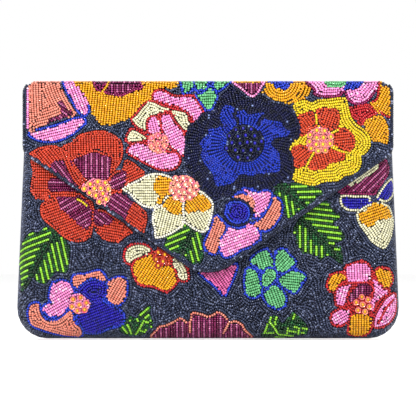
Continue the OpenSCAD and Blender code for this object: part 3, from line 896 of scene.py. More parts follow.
def embroider(panel):
    # drawn lines go down first, then the lines round the areas, then the rows that fill them
    started = len(laidBeads)
    for name, colour, count, path in panel.stitchRows:
        for k in range(count):
            shift = (k - (count - 1) / 2) * bead["rowGap"]
            layRow(panel, path + sideways(path) * shift, name, colour, None)
    for number in range(len(panel.areas) - 1, 0, -1):
        area = panel.areas[number]
        if area["edge"]:
            rim = insetPath(area["path"], halfBead)
            layRow(panel, np.concatenate([rim, rim[:1]]), area["name"], area["edge"], number)
    for number in range(len(panel.areas)):
        cells = np.argwhere(panel.owner == number)
        if not len(cells):
            continue
        order = list(range(0, len(cells), 3))
        dice.shuffle(order)
        growRows(panel, number, seedsOf(panel, number))
        for i in order:
            cell = tuple(cells[i])
            growRows(panel, number, [(panel.cellX[cell], panel.cellV[cell])])
    # beads that fit the gaps left between the rows, then ones a little squeezed
    for share in packing["gapShares"]:
        for i, j in np.argwhere(panel.owner >= 0)[::2]:
            area = panel.areas[panel.owner[i, j]]
            tryBead(panel, panel.cellX[i, j], panel.cellV[i, j], panel.angle[i, j], area["name"],
                    area["colour"], share)
    print("embroidered a panel with", len(laidBeads) - started, "beads")
    return laidBeads[started:]


def seedsOf(panel, number):
    area = panel.areas[number]
    if area["rows"] in ("edge", "rings", "swirl") and area.get("path") is not None:
        inset = halfBead + (bead["rowGap"] if area["edge"] else 0)
        return [tuple(p) for p in insetPath(area["path"], inset)[::3]]
    if area["rows"] == "swirl":
        return [tuple(p) for other in panel.areas[1:] for p in insetPath(other["path"], -halfBead)[::3]]
    return [tuple(area["centroid"])]


def mirrorOverFold(point):
    return point[0], 2 * wrapMiddle - point[1]


def stay(point):
    return point


# How far the beads stop short of each edge, and the half width of the beads on the way over the fold
margin = {"flapEdge": 2.75, "flapTop": 0.7, "backEdge": 0.9, "backTop": 1.7, "rim": 0.8, "mouth": 0.9}
foldStations = [167, foldStart + 1, foldEnd - 1, backStart + 2]
foldHalves = [118.6, 114.1, 114.1, 119.8]
reach = {"wrapHalf": 130, "wrapLow": 36, "wrapPast": 2, "frontHalf": 137, "frontLow": -8, "frontPast": 1}
wrap = Panel(placeOnWrap, -reach["wrapHalf"], reach["wrapHalf"], reach["wrapLow"],
             backStart + backPivot.z + reach["wrapPast"])
front = Panel(placeOnFront, -reach["frontHalf"], reach["frontHalf"], reach["frontLow"],
              bag["frontTop"] + reach["frontPast"])

flapMask = insideOutline(flapOutline(margin["flapEdge"]), wrap.cellX, wrap.cellV)
flapMask &= wrap.cellV < bag["flapTop"] - margin["flapTop"]
backV = backPivot.z - (wrap.cellV - backStart)
backMask = insideOutline(backOutline(margin["backEdge"]), wrap.cellX, backV)
backMask &= wrap.cellV > backStart + margin["backTop"]
strip = np.interp(wrap.cellV, foldStations, foldHalves)
foldMask = np.abs(wrap.cellX) < strip
foldMask &= wrap.cellV >= bag["flapTop"] - margin["flapTop"]
foldMask &= wrap.cellV <= backStart + margin["backTop"]
setGround(wrap, flapMask | foldMask | backMask, "ground", 0.4)
for name, motif in frontMotifs.items():
    addMotif(wrap, name, motif, mirrorOverFold)
for name, motif in flapMotifs.items():
    addMotif(wrap, name, motif, mirrorOverFold)
for name, motif in flapMotifs.items():
    addMotif(wrap, name, motif, stay)

outward = np.vectorize(lambda x, v: rimDirection(x, v)[0])(front.cellX, front.cellV)
frontMask = (outward < rimLength - margin["rim"]) & (front.cellV < bag["frontTop"] - margin["mouth"])
setGround(front, frontMask, "ground", 1.7)
for name, motif in frontMotifs.items():
    addMotif(front, name, motif, unrollFront)

for panel in (wrap, front):
    for area in panel.areas[1:]:
        panel.followEdge(area["path"], rowRules["groundReach"], lambda owner: owner == 0)
wrapBeads, frontBeads = embroider(wrap), embroider(front)


# One seed bead: a short barrel with sunk ends, its hole along X, of size 1 from the middle each way
barrel = {"sides": 6, "rings": 4, "ends": 0.72, "rims": 0.92, "rimRadius": 0.76, "ringRadius": 0.707}


def beadShape():
    bm = bmesh.new()
    bmesh.ops.create_uvsphere(bm, u_segments=barrel["sides"], v_segments=barrel["rings"], radius=1.0)
    bmesh.ops.rotate(bm, verts=bm.verts, matrix=Matrix.Rotation(math.radians(90), 3, "Y"))
    for vert in bm.verts:
        ring = abs(vert.co.x)
        around = Vector((0, vert.co.y, vert.co.z))
        if ring > 0.9:
            vert.co.x = math.copysign(barrel["ends"], vert.co.x)
        elif ring > 0.3:
            rim = Vector((math.copysign(barrel["rims"], vert.co.x), 0, 0))
            vert.co = rim + around * (barrel["rimRadius"] / barrel["ringRadius"])
    mesh = bpy.data.meshes.new("beadShape")
    bm.to_mesh(mesh)
    bm.free()
    return mesh


beadMesh = beadShape()
beadVerts = np.array([v.co for v in beadMesh.vertices])
beadCorners = np.array([v for p in beadMesh.polygons for v in p.vertices])
beadFaces = [len(p.vertices) for p in beadMesh.polygons]
beadEnds = np.abs(beadVerts[:, 0])


# How much beads vary in size and tone, and how much painted shade darkens their rims, holes and undersides
sizeToneAndPaintedShade = {"size": 0.03, "shade": 0.1, "rim": 0.6, "hole": 0.35, "under": 0.45}


def beadPiece(name, beads, size=1.0, material=None, shape=None):
    # every bead of the piece is the one shape, turned to its row and set down with its own small faults
    rng = np.random.default_rng(len(beads) + len(name))
    count, perBead = len(beads), len(beadVerts)
    place = np.array([b[0] for b in beads])
    run = np.array([b[1] for b in beads]) + rng.normal(0, bead["tilt"], (count, 3))
    normal = np.array([b[2] for b in beads])
    run /= np.linalg.norm(run, axis=1)[:, None]
    side = np.cross(normal, run)
    side /= np.linalg.norm(side, axis=1)[:, None]
    normal = np.cross(run, side)
    grow = rng.normal(1, sizeToneAndPaintedShade["size"], (count, 1, 1)) * size
    half = np.array(shape or (bead["drawnLength"], bead["width"], bead["width"])) / 2
    local = beadVerts[None] * half * grow
    verts = place[:, None] + (local[..., :1] * run[:, None] + local[..., 1:2] * side[:, None]
                              + local[..., 2:] * normal[:, None])
    verts += rng.normal(0, bead["jitter"], (count, 1, 3))
    mesh = bpy.data.meshes.new(name)
    mesh.vertices.add(count * perBead)
    mesh.vertices.foreach_set("co", (verts / 1000).astype(np.float32).ravel())
    corners = (beadCorners[None] + (np.arange(count) * perBead)[:, None]).ravel()
    sizes = np.tile(beadFaces, count)
    mesh.loops.add(len(corners))
    mesh.loops.foreach_set("vertex_index", corners.astype(np.int32))
    mesh.polygons.add(len(sizes))
    mesh.polygons.foreach_set("loop_start", np.concatenate([[0], np.cumsum(sizes)[:-1]]).astype(np.int32))
    mesh.update(calc_edges=True)
    mesh.polygons.foreach_set("use_smooth", np.ones(len(sizes), bool))

    colours = np.zeros((count, perBead, 4), np.float32)
    for i, item in enumerate(beads):
        main, metal, others = beadColours[item[4]]
        pick = rng.random()
        chosen = main
        for other, share in others:
            if pick < share:
                chosen = other
                break
            pick -= share
        shade = np.array(linear(chosen)) * rng.normal(1.0, sizeToneAndPaintedShade["shade"])
        colours[i, :, :3] = np.clip(shade, 0, 1)
        colours[i, :, 3] = metal
    # painted shade: the ends of a bead are darker, most of all its sunk hole where the thread runs, for the
    # shade between beads along a row, and so is its lower half, for the shade under it
    dark = np.where(beadEnds > 0.85, sizeToneAndPaintedShade["rim"], np.where(beadEnds > 0.6, sizeToneAndPaintedShade["hole"], 1.0))
    colours[..., :3] *= (dark * np.where(beadVerts[:, 2] < 0.3, sizeToneAndPaintedShade["under"], 1.0))[None, :, None]
    attribute = mesh.attributes.new("beadColour", "FLOAT_COLOR", "POINT")
    attribute.data.foreach_set("color", colours.ravel())

    # each bead has a cell of its own on the UV map
    across = math.ceil(math.sqrt(count))
    cells = np.stack([np.arange(count) % across, np.arange(count) // across], 1) / across
    spot = beadVerts[beadCorners][:, :2] * 0.4 + 0.5
    uv = cells[:, None] + spot[None] * 0.9 / across + 0.05 / across
    layer = mesh.uv_layers.new(name="OFBake")
    layer.data.foreach_set("uv", uv.astype(np.float32).ravel())
    piece = bpy.data.objects.new(name, mesh)
    bpy.context.scene.collection.objects.link(piece)
    mesh.materials.append(material or beadGlass)
    return piece


def pieceFrom(bm, name, material, smooth=False):
    mesh = bpy.data.meshes.new(name)
    bm.to_mesh(mesh)
    bm.free()
    if smooth:
        mesh.polygons.foreach_set("use_smooth", np.ones(len(mesh.polygons), bool))
    mesh.materials.append(material)
    piece = bpy.data.objects.new(name, mesh)
    bpy.context.scene.collection.objects.link(piece)
    return piece


def newMaterial(name, **values):
    material = bpy.data.materials.new(name)
    material.use_nodes = True
    tree = material.node_tree
    shader = tree.nodes["Principled BSDF"]
    for socket, value in values.items():
        shader.inputs[socket].default_value = value
    return material, tree, shader


def addNode(tree, kind, inputs=(), **settings):
    node = tree.nodes.new(kind)
    for key, value in settings.items():
        setattr(node, key, value)
    for socket, value in dict(inputs).items():
        if isinstance(value, bpy.types.NodeSocket):
            tree.links.new(value, node.inputs[socket])
        else:
            node.inputs[socket].default_value = value
    return node


def colour(hexColour):
    return (*linear(hexColour), 1.0)


def grain(tree, where, scale, **settings):
    # soft noise over the piece, from 0 to 1
    inputs = {"Vector": where, "Scale": scale, **settings}
    return addNode(tree, "ShaderNodeTexNoise", inputs).outputs["Fac"]


def between(tree, value, low, high):
    # a value from 0 to 1 spread between two others
    spread = addNode(tree, "ShaderNodeMapRange", {"Value": value, "To Min": low, "To Max": high})
    return spread.outputs["Result"]


def twoTone(tree, shader, value, low, high, dark, light):
    # the base colour runs from dark to light as the value goes from low to high
    ramp = addNode(tree, "ShaderNodeValToRGB", {"Fac": value})
    first, last = ramp.color_ramp.elements
    first.position, last.position = low, high
    first.color, last.color = colour(dark), colour(light)
    tree.links.new(ramp.outputs["Color"], shader.inputs["Base Color"])


def makeBeadGlass():
    glass = {"grain": 900.0, "roughLow": 0.16, "roughHigh": 0.34}
    coat = {"Coat Weight": 0.2, "Coat Roughness": 0.05, "Specular IOR Level": 0.3}
    material, tree, shader = newMaterial("beadGlass", **coat)
    tint = addNode(tree, "ShaderNodeAttribute", attribute_name="beadColour")
    where = addNode(tree, "ShaderNodeTexCoord").outputs["Object"]
    rough = between(tree, grain(tree, where, glass["grain"]), glass["roughLow"], glass["roughHigh"])
    tree.links.new(tint.outputs["Color"], shader.inputs["Base Color"])
    tree.links.new(tint.outputs["Alpha"], shader.inputs["Metallic"])
    tree.links.new(rough, shader.inputs["Roughness"])
    return material


def makeCloth(name, dark, light, threads, sheen, roughness):
    # three crossed sets of threads, with a slow mottling over them
    weaveShow, mottleScale = 0.12, 60.0
    material, tree, shader = newMaterial(name, **{"Roughness": roughness, "Sheen Weight": sheen})

    def sums(operation, first, second=None):
        inputs = {0: first} if second is None else {0: first, 1: second}
        return addNode(tree, "ShaderNodeMath", inputs, operation=operation).outputs[0]

    where = addNode(tree, "ShaderNodeTexCoord").outputs["Object"]
    split = addNode(tree, "ShaderNodeSeparateXYZ", {"Vector": where})
    waves = [sums("SINE", sums("MULTIPLY", split.outputs[axis], threads)) for axis in ("X", "Z", "Y")]
    weave = sums("ADD", sums("MULTIPLY", waves[0], waves[1]), waves[2])
    mottle = grain(tree, where, mottleScale, Detail=4.0)
    twoTone(tree, shader, sums("ADD", sums("MULTIPLY", weave, weaveShow), mottle), 0.3, 0.7, dark, light)
    bump = addNode(tree, "ShaderNodeBump", {"Height": weave, "Strength": 0.25, "Distance": 0.0001})
    tree.links.new(bump.outputs["Normal"], shader.inputs["Normal"])
    return material


def makeSatin(name, dark, light):
    # satin: long soft ripples that catch the light, with painted sheen making the base colour lighter along
    # their crests, and a fine float of thread along them
    material, tree, shader = newMaterial(name, **{"Sheen Weight": 0.1, "Specular IOR Level": 0.45})
    where = addNode(tree, "ShaderNodeTexCoord").outputs["Object"]
    ripple = grain(tree, where, 22.0, Detail=3.0, Distortion=0.8)
    stretch = addNode(tree, "ShaderNodeMapping", {"Vector": where, "Scale": (3000.0, 400.0, 400.0)})
    floats = grain(tree, stretch.outputs["Vector"], 1.0)
    twoTone(tree, shader, ripple, 0.3, 0.72, dark, light)
    wave = addNode(tree, "ShaderNodeBump", {"Height": ripple, "Strength": 0.35, "Distance": 0.002})
    fine = addNode(tree, "ShaderNodeBump", {"Height": floats, "Normal": wave.outputs["Normal"],
                                            "Strength": 0.15, "Distance": 0.0001})
    tree.links.new(between(tree, floats, 0.28, 0.46), shader.inputs["Roughness"])
    tree.links.new(fine.outputs["Normal"], shader.inputs["Normal"])
    return material


def makeMetal(name, dark, light, roughness):
    # plated metal with fine turning marks and the faint clouding of handling
    material, tree, shader = newMaterial(name, **{"Metallic": 1.0})
    where = addNode(tree, "ShaderNodeTexCoord").outputs["Object"]
    marks = grain(tree, where, 1400.0, Detail=3.0)
    twoTone(tree, shader, grain(tree, where, 130.0), 0.35, 0.65, dark, light)
    bump = addNode(tree, "ShaderNodeBump", {"Height": marks, "Strength": 0.1, "Distance": 0.00005})
    tree.links.new(between(tree, marks, roughness - 0.08, roughness + 0.12), shader.inputs["Roughness"])
    tree.links.new(bump.outputs["Normal"], shader.inputs["Normal"])
    return material


beadGlass = makeBeadGlass()
groundCloth = makeCloth("groundCloth", "#0c1120", "#1a2238", 9000.0, 0.2, 0.85)
paperBoard = makeCloth("paperBoard", "#8a7452", "#a58d66", 2500.0, 0.0, 0.9)
bindingTape = makeCloth("bindingTape", "#141c38", "#24305a", 6000.0, 0.35, 0.6)
liningSatin = makeSatin("liningSatin", "#0f1838", "#1e2c58")
liningThread = makeCloth("liningThread", "#2a3a66", "#40528a", 8000.0, 0.3, 0.5)
snapMetal = makeMetal("snapMetal", "#a9a9ac", "#c9c9cc", 0.3)
magnetFace = makeMetal("magnetFace", "#3c3c40", "#55555a", 0.45)
print("materials made")


# The beads of each surface become one piece for each flower; the ground is cut into strips across the bag
creaseEdge = {"flap": margin["flapTop"], "fold": 1.4, "back": 1.75}
zones = {
    "flap": (0, bag["flapTop"] - creaseEdge["flap"]),
    "flap_crease": (bag["flapTop"] - creaseEdge["flap"], foldStart + creaseEdge["fold"]),
    "fold": (foldStart + creaseEdge["fold"], foldEnd - creaseEdge["fold"]),
    "back_crease": (foldEnd - creaseEdge["fold"], backStart + creaseEdge["back"]),
    "back": (backStart + creaseEdge["back"], 999),
}
zoneBody = {"flap": "flap", "fold": "fold", "back": "pouch", "front": "pouch"}
strips = {"names": ["left", "middle", "right", "far_right"], "start": -130, "width": 65}


def groundStrip(x):
    count = int((x - strips["start"]) / strips["width"])
    return "ground_" + strips["names"][min(3, max(0, count))]


pieceBeads = {}
for item in wrapBeads:
    part, x, v = item[3], item[5], item[6]
    zone = [z for z, (start, end) in zones.items() if start <= v < end][0]
    if part == "ground" and zone == "back":
        part = groundStrip(x)
    if "crease" in zone or zone == "fold":
        part = "bead_rows"
    pieceBeads.setdefault((zone, part), []).append(item)
for item in frontBeads:
    place, part = item[0], item[3]
    if part == "ground":
        part = groundStrip(place[0])
    pieceBeads.setdefault(("front", part), []).append(item)

# The pieces that cross a crease: the two bodies on either side, and a y,z place on each; here these pieces
# are only fixed in place, not bent or attached to a body
creaseBends = {
    "flap_crease": ("fold", "flap", (flapPivot.y + 1.6, bag["top"]), (bag["flapOut"], flapPivot.z - 2.1)),
    "back_crease": ("pouch", "fold", (bag["backOut"], backPivot.z - 2.1), (backPivot.y - 1.6, bag["top"])),
}


def bend(piece):
    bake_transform(piece)


for (zone, part), beads in sorted(pieceBeads.items()):
    piece = beadPiece(zone + "_" + part, beads)
    if zone in creaseBends:
        bend(piece)
    else:
        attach(piece, zoneBody[zone])
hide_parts("flap_beads")
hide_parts("fold_beads")
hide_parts("back_beads")
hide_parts("front_beads")
print("beads set in", len(pieceBeads), "pieces")


# The flap's edge: a wrapped core, and two rows of beads over it from the front to the side. Each row has
# its inset from the outline, its depth behind the beads' face, and how far its beads lean outwards.
edge = {"core": 1.0, "coreInset": 1.7, "coreY": 2.1, "coreStep": 1.5, "beadStep": 1.02,
        "rows": [(1.0, 1.05, 0.5), (0.9, 2.75, 1.1)]}


def along(points, step):
    # even steps along an open line of (x, z) points, with the direction at each
    points = np.array(points)
    lengths = np.concatenate([[0], np.cumsum(np.hypot(*np.diff(points, axis=0).T))])
    stops = np.linspace(0, lengths[-1], int(lengths[-1] / step) + 1)
    walked = np.stack([np.interp(stops, lengths, points[:, k]) for k in (0, 1)], 1)
    ahead = np.gradient(walked, axis=0)
    return walked, ahead / np.hypot(*ahead.T)[:, None]


def edgeBeads():
    beads = []
    for inset, deep, lean in edge["rows"]:
        walked, ahead = along(flapOutline(inset), bead["length"] * edge["beadStep"])
        for (x, z), (ax, az) in zip(walked, ahead):
            facing = (az * math.sin(lean), -math.cos(lean), -ax * math.sin(lean))
            beads.append(((x, bag["flapOut"] + deep, z), (ax, 0, az), facing, "edge", "edge"))
    return beads


edgePiece = beadPiece("flap_edge_beads", edgeBeads())
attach(edgePiece, "flap")


def tube(name, points, radius, sides, material):
    # a round cord along (x, y, z) points, its ends closed
    curve = bpy.data.curves.new(name, "CURVE")
    curve.dimensions = "3D"
    curve.bevel_depth = radius / 1000
    curve.bevel_resolution = sides // 4
    curve.use_fill_caps = True
    line = curve.splines.new("POLY")
    line.points.add(len(points) - 1)
    for point, place in zip(line.points, points):
        point.co = (*[c / 1000 for c in place], 1)
    holder = bpy.data.objects.new(name + "Curve", curve)
    mesh = bpy.data.meshes.new_from_object(holder)
    bpy.data.objects.remove(holder)
    mesh.materials.clear()
    mesh.materials.append(material)
    mesh.polygons.foreach_set("use_smooth", np.ones(len(mesh.polygons), bool))
    piece = bpy.data.objects.new(name, mesh)
    bpy.context.scene.collection.objects.link(piece)
    return piece


coreLine = along(flapOutline(edge["coreInset"]), edge["coreStep"])[0]
corePoints = [(x, bag["flapOut"] + edge["coreY"], z) for x, z in coreLine]
core = tube("flap_edge_core", corePoints, edge["core"], 8, bindingTape)
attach(core, "flap")
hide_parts("flap_edge_cord")

# Flower centres: cupped sequins, each held by a bead. Each flower has its panel, its foil, the colour of
# its beads, and its sequins' places as x,z.
centres = {
    "poppy_centre": ("flap", "pinkSequin", "yellow", [
        (-82, 99.5), (-78.5, 96.8), (-78, 102.5), (-73, 104.2), (-75.2, 99.8), (-71, 100), (-68, 103.5),
        (-66, 99.4), (-69.6, 96.2), (-67.4, 92.6), (-74.2, 95), (-72, 91)]),
    "pale_flower_centre": ("flap", "pinkSequin", "cream", [
        (-21.5, 106.5), (-16.5, 106.5), (-11.6, 105), (-8, 101.5), (-19.6, 102), (-14.9, 102.3),
        (-12, 98.6), (-24, 98.2), (-19.3, 97.6), (-15.6, 97.2), (-9, 96.4), (-21.5, 93.8),
        (-16.8, 92.8), (-12.1, 93.9)]),
    "navy_flower_centre": ("flap", "inkSequin", "royal", [
        (18.5, 138.7), (23.4, 139.6), (28.6, 139), (14, 134.7), (20, 134.2), (25, 135), (31, 134.6),
        (16, 130), (21.2, 129.6), (26, 130.4), (31, 129.8), (35.4, 131), (12.3, 126.4), (18.2, 125.2),
        (23.4, 124.8), (28.6, 125.2), (33.4, 125.8), (20, 120.4), (26.3, 120)]),
    "yellow_flower_centre": ("flap", "pinkSequin", "yellow", [
        (72, 138.2), (67.6, 135.2), (77.2, 138), (72, 133.4), (76.6, 133.6), (81.4, 134), (67.2, 130.6),
        (71.6, 128.8), (76.2, 129), (80.8, 129.4), (68.2, 126.2), (73, 124.6), (77.6, 125)]),
    "pink_flower_centre": ("flap", "pinkSequin", "peach", [
        (-37.4, 133), (-33, 134.6), (-28.6, 133), (-37.4, 128), (-33, 129.6), (-28.8, 128), (-33, 125)]),
    "blue_flower_centre": ("front", "pinkSequin", "golden", [
        (-89.4, 26.2), (-84.6, 27.4), (-80.6, 23.8), (-85.4, 22.6), (-90.2, 21.4), (-86.6, 18.6),
        (-81.8, 19.2)]),
    "cream_flower_centre": ("front", "redSequin", "golden", [
        (-33, 57.4), (-28.6, 56), (-34.4, 52.8), (-29.8, 51.4), (-33, 48.6)]),
    "rose_flower_centre": ("front", "pinkSequin", "golden", [
        (98.3, 24.2), (102, 27.8), (106.2, 26), (102.6, 22.8), (107.2, 21.4), (99.6, 19), (104.2, 18)]),
}
sequin = {"radius": 2.0, "thick": 0.25, "cup": 0.55, "sides": 14, "slope": 0.9, "hole": 0.6, "sunk": 0.15,
          "beadUp": 0.85, "beadSize": 1.3}


def makeSequin(name, dark, light, roughness):
    # foil that shifts from one tone to the other, under a clear coat
    foil = {"Coat Weight": 0.6, "Coat Roughness": 0.05, "Metallic": 0.35, "Roughness": roughness}
    material, tree, shader = newMaterial(name, **foil)
    where = addNode(tree, "ShaderNodeTexCoord").outputs["Object"]
    twoTone(tree, shader, grain(tree, where, 420.0, Detail=2.0), 0.35, 0.65, dark, light)
    return material


sequinFoil = {
    "pinkSequin": makeSequin("pinkSequin", "#e05c74", "#f0a080", 0.2),
    "inkSequin": makeSequin("inkSequin", "#04060e", "#142a38", 0.15),
    "redSequin": makeSequin("redSequin", "#8c1828", "#c83840", 0.2),
}


def sequinPiece(name, places, y, foil):
    # cupped discs: the rim lifts off the cloth, and the middle lies on it
    bm = bmesh.new()
    for x, z in places:
        made = bmesh.ops.create_circle(bm, cap_ends=True, segments=sequin["sides"], radius=sequin["radius"])
        face = list({f for v in made["verts"] for f in v.link_faces})[0]
        inner = bmesh.ops.inset_individual(bm, faces=[face], thickness=sequin["slope"], depth=0)
        bmesh.ops.inset_individual(bm, faces=[face], thickness=sequin["hole"], depth=0)
        verts = {v for f in inner["faces"] for v in f.verts} | set(face.verts) | set(made["verts"])
        for vert in verts:
            far = math.hypot(vert.co.x, vert.co.y) / sequin["radius"]
            vert.co = Vector((x + vert.co.x, y - sequin["cup"] * far * far, z + vert.co.y))
    bmesh.ops.recalc_face_normals(bm, faces=bm.faces)
    bmesh.ops.solidify(bm, geom=list(bm.faces), thickness=sequin["thick"])
    bmesh.ops.scale(bm, vec=(0.001, 0.001, 0.001), verts=bm.verts)
    piece = pieceFrom(bm, name, foil)
    return piece


for name, (side, foil, holder, places) in centres.items():
    y = bag["flapOut"] if side == "flap" else bag["frontOut"]
    discs = sequinPiece(name + "_sequins", places, y - sequin["sunk"], sequinFoil[foil])
    holders = [((x, y - sequin["beadUp"], z), (1, 0, 0), (0, -1, 0), name, holder) for x, z in places]
    beads = beadPiece(name + "_beads", holders, sequin["beadSize"])
    for piece in (discs, beads):
        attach(piece, "flap" if side == "flap" else "pouch")
    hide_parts(name)
print("edge and flower centres set")


# The satin inside, cut to each panel and pulled over its board, with the slight ripples of a glued lining
lining = {"grid": 3.2, "thick": 0.3, "ripple": 19.0, "wrinkle": (1.7, 0.6, 7), "lift": 0.6, "border": 8}


def nearestOn(path, x, v):
    return path[np.argmin(np.hypot(path[:, 0] - x, path[:, 1] - v))]


def smoothOutline(outline):
    # the same outline, walked in short even steps
    closed = list(outline) + [outline[0]]
    return along(closed, 1.0)[0][:-1]


def wrinkles(x, v, seed):
    # a broad ripple, and finer wrinkles that run across it
    acrossBy, upBy, size = lining["wrinkle"]
    broad = noise.noise(Vector((x, v, seed)) / lining["ripple"])
    return broad + 0.5 * noise.noise(Vector((x * acrossBy, v * upBy, 9)) / size)


def sheetOver(name, outline, place, ripple, material):
    # a grid trimmed to the outline, its border pulled onto the outline, then rippled and given a thickness
    path = smoothOutline(outline)
    lowest, highest = path.min(0), path.max(0)
    size = highest - lowest
    across, up = (max(2, round(side / lining["grid"])) for side in size)
    bm = bmesh.new()
    bmesh.ops.create_grid(bm, x_segments=across, y_segments=up, size=0.5)
    for vert in bm.verts:
        x, v = vert.co.x + 0.5, vert.co.y + 0.5
        vert.co = Vector((lowest[0] + x * size[0], lowest[1] + v * size[1], 0))
    middles = np.array([f.calc_center_median()[:2] for f in bm.faces])
    keep = insideOutline(path, middles[:, 0], middles[:, 1])
    bmesh.ops.delete(bm, geom=[f for f, k in zip(list(bm.faces), keep) if not k], context="FACES")
    for vert in bm.verts:
        if vert.is_boundary:
            vert.co.x, vert.co.y = nearestOn(path, vert.co.x, vert.co.y)
    area = sum(f.calc_area() for f in bm.faces) * 1e-6
    width, length = size / 1000
    for vert in bm.verts:
        x, v = vert.co.x, vert.co.y
        border = min(1.0, np.min(np.hypot(path[:, 0] - x, path[:, 1] - v)) / lining["border"])
        point, outwards = place(x, v)
        rise = ripple * border * (lining["lift"] + wrinkles(x, v, len(name)))
        vert.co = (Vector(point) + Vector(outwards) * rise) / 1000
    bm.normal_update()
    facing = Vector(place(*path.mean(0))[1])
    if sum(f.normal.dot(facing) for f in bm.faces) < 0:
        bmesh.ops.reverse_faces(bm, faces=bm.faces[:])
    bmesh.ops.solidify(bm, geom=bm.faces[:], thickness=lining["thick"] / 1000)
    piece = pieceFrom(bm, name, material, smooth=True)
    return piece, (width, length), area


def onPlane(y, facing):
    return lambda x, v: ((x, y, v), (0, facing, 0))


frontLiningRadius = bag["seam"] - low("front_lining").y


def onFrontLining(x, v):
    radius = frontLiningRadius - 0.15
    out, nx, nz = rimDirection(x, v)
    if out <= 0:
        return (x, bag["seam"] - radius, v), (0, 1, 0)
    t = min(out / radius, math.pi / 2 - 0.02)
    s, c = math.sin(t), math.cos(t)
    spread = radius * s - out
    return (x + nx * spread, bag["seam"] - radius * c, v + nz * spread), (-nx * s, c, -nz * s)


def frontLiningOutline():
    radius = frontLiningRadius * math.pi / 2 - 0.6
    angle = math.degrees(bag["sideAngle"])
    top = bag["frontTop"] - 0.4
    half = [(bag["halfWidth"] - top * math.tan(bag["sideAngle"]) - shell + radius, top)]
    half += arcPoints(bag["cornerX"], bag["cornerRadius"], bag["cornerRadius"] - shell + radius, angle, -90)
    return half + [(-x, z) for x, z in reversed(half)]


pocketLow, pocketHigh = low("slip_pocket"), high("slip_pocket")
hemLow = low("slip_pocket_hem")
pocket = {"lining": 0.35, "seam": 0.25, "gape": 1.0, "sideEase": 14, "bottomEase": 12, "hemUp": 0.42}


def onPocket(x, v):
    # the pocket's side and bottom seams lie on the lining, and its top stands a little open
    side = min(1.0, (pocketHigh.x - abs(x)) / pocket["sideEase"])
    rise = min(1.0, (v - pocketLow.z) / pocket["bottomEase"])
    lift = pocket["seam"] + pocket["gape"] * math.sqrt(max(0, side) * max(0, rise))
    return (x, bag["seam"] - pocket["lining"] - lift, v), (0, -1, 0)


def onHem(x, v):
    (px, py, pz), facing = onPocket(x, v)
    return (px, py - pocket["hemUp"], pz), facing


def box2d(x, z0, z1):
    return [(-x, z0), (x, z0), (x, z1), (-x, z1)]


foldEdge = bag["foldHalf"] - 0.4
foldOutline = box2d(foldEdge, flapPivot.y + 0.6, backPivot.y - 0.6)
hemOutline = box2d(pocketHigh.x - 0.6, hemLow.z - 1.2, pocketHigh.z + 0.3)


def underFold(x, v):
    return (x, v, bag["foldUnder"] + 0.33), (0, 0, -1)


# Each lining: its cut outline, where it lies, how much it ripples, its body, its node, and what it is on
linings = [
    ("flap_lining_satin", flapOutline(2.9), onPlane(bag["flapIn"] - 0.35, 1), 0.22,
     "flap", "flap_lining", "flap_board"),
    ("back_lining_satin", backOutline(2.3), onPlane(bag["seam"] + 0.36, -1), 0.25,
     "pouch", "back_lining", "back_board"),
    ("front_lining_satin", frontLiningOutline(), onFrontLining, 0.25,
     "pouch", "front_lining", "front_board"),
    ("fold_lining_satin", foldOutline, underFold, 0.15,
     "fold", "fold_lining", "fold_cloth"),
    ("slip_pocket_satin", box2d(pocketHigh.x, pocketLow.z, pocketHigh.z), onPocket, 0.2,
     "pouch", "slip_pocket", "back_lining_satin"),
    ("slip_pocket_hem_satin", hemOutline, onHem, 0.12,
     "pouch", "slip_pocket_hem", "slip_pocket_satin"),
]
for name, outline, place, ripple, body, node, under in linings:
    piece, flat, area = sheetOver(name, outline, place, ripple, liningSatin)
    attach(piece, body)
    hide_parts(node)


# Running stitches of sewing thread: each is one thin bead-shaped loop, lying on the cloth
thread = {"length": 2.0, "width": 0.42, "thick": 0.3, "rise": 0.42}


def stitches(name, lines, gap, body):
    items = []
    for line, place in lines:
        walked, ahead = along(line, gap)
        for (x, v), (ax, av) in zip(walked, ahead):
            here, facing = place(x, v)
            there = place(x + ax * 0.5, v + av * 0.5)[0]
            run = unit([b - a for a, b in zip(here, there)])
            spot = tuple(h + f * thread["rise"] for h, f in zip(here, facing))
            items.append((spot, run, facing, name, "thread"))
    shape = (thread["length"], thread["width"], thread["thick"])
    piece = beadPiece(name, items, shape=shape, material=liningThread)
    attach(piece, body)


pocketIn = pocketHigh.x - 1.6
pocketTop, pocketBottom = pocketHigh.z - 1, pocketLow.z + 1.6
pocketSeam = [(-pocketIn, pocketTop), (-pocketIn, pocketBottom), (pocketIn, pocketBottom),
              (pocketIn, pocketTop)]
hemSeam = [(-pocketIn, hemLow.z + 1.2), (pocketIn, hemLow.z + 1.2)]
flapSeam = (flapOutline(4.2), onPlane(bag["flapIn"] - 0.2, 1))
stitches("slip_pocket_stitches", [(pocketSeam, onPocket), (hemSeam, onHem)], 2.9, "pouch")
stitches("flap_lining_stitches", [flapSeam], 3.0, "flap")


# Cloth and satin that cross the two creases, which bend as the flap opens; these pieces are built closed and
# fixed in place. A profile is y,z points.
def acrossCrease(name, profile, halves, thick, material):
    bm = bmesh.new()
    bmesh.ops.create_grid(bm, x_segments=60, y_segments=len(profile) - 1, size=1)
    for vert in bm.verts:
        row = round((vert.co.y + 1) / 2 * (len(profile) - 1))
        half = halves[0] + (halves[1] - halves[0]) * row / (len(profile) - 1)
        y, z = profile[row]
        vert.co = Vector((vert.co.x * half, y, z)) / 1000
    bmesh.ops.recalc_face_normals(bm, faces=bm.faces[:])
    bmesh.ops.solidify(bm, geom=bm.faces[:], thickness=thick / 1000)
    piece = pieceFrom(bm, name, material)
    bend(piece)


def quarter(pivot, radius, sign, steps=4):
    turns = [math.pi / 2 * k / steps for k in range(steps + 1)]
    return [(pivot.y - sign * radius * math.cos(t), pivot.z + radius * math.sin(t)) for t in turns]


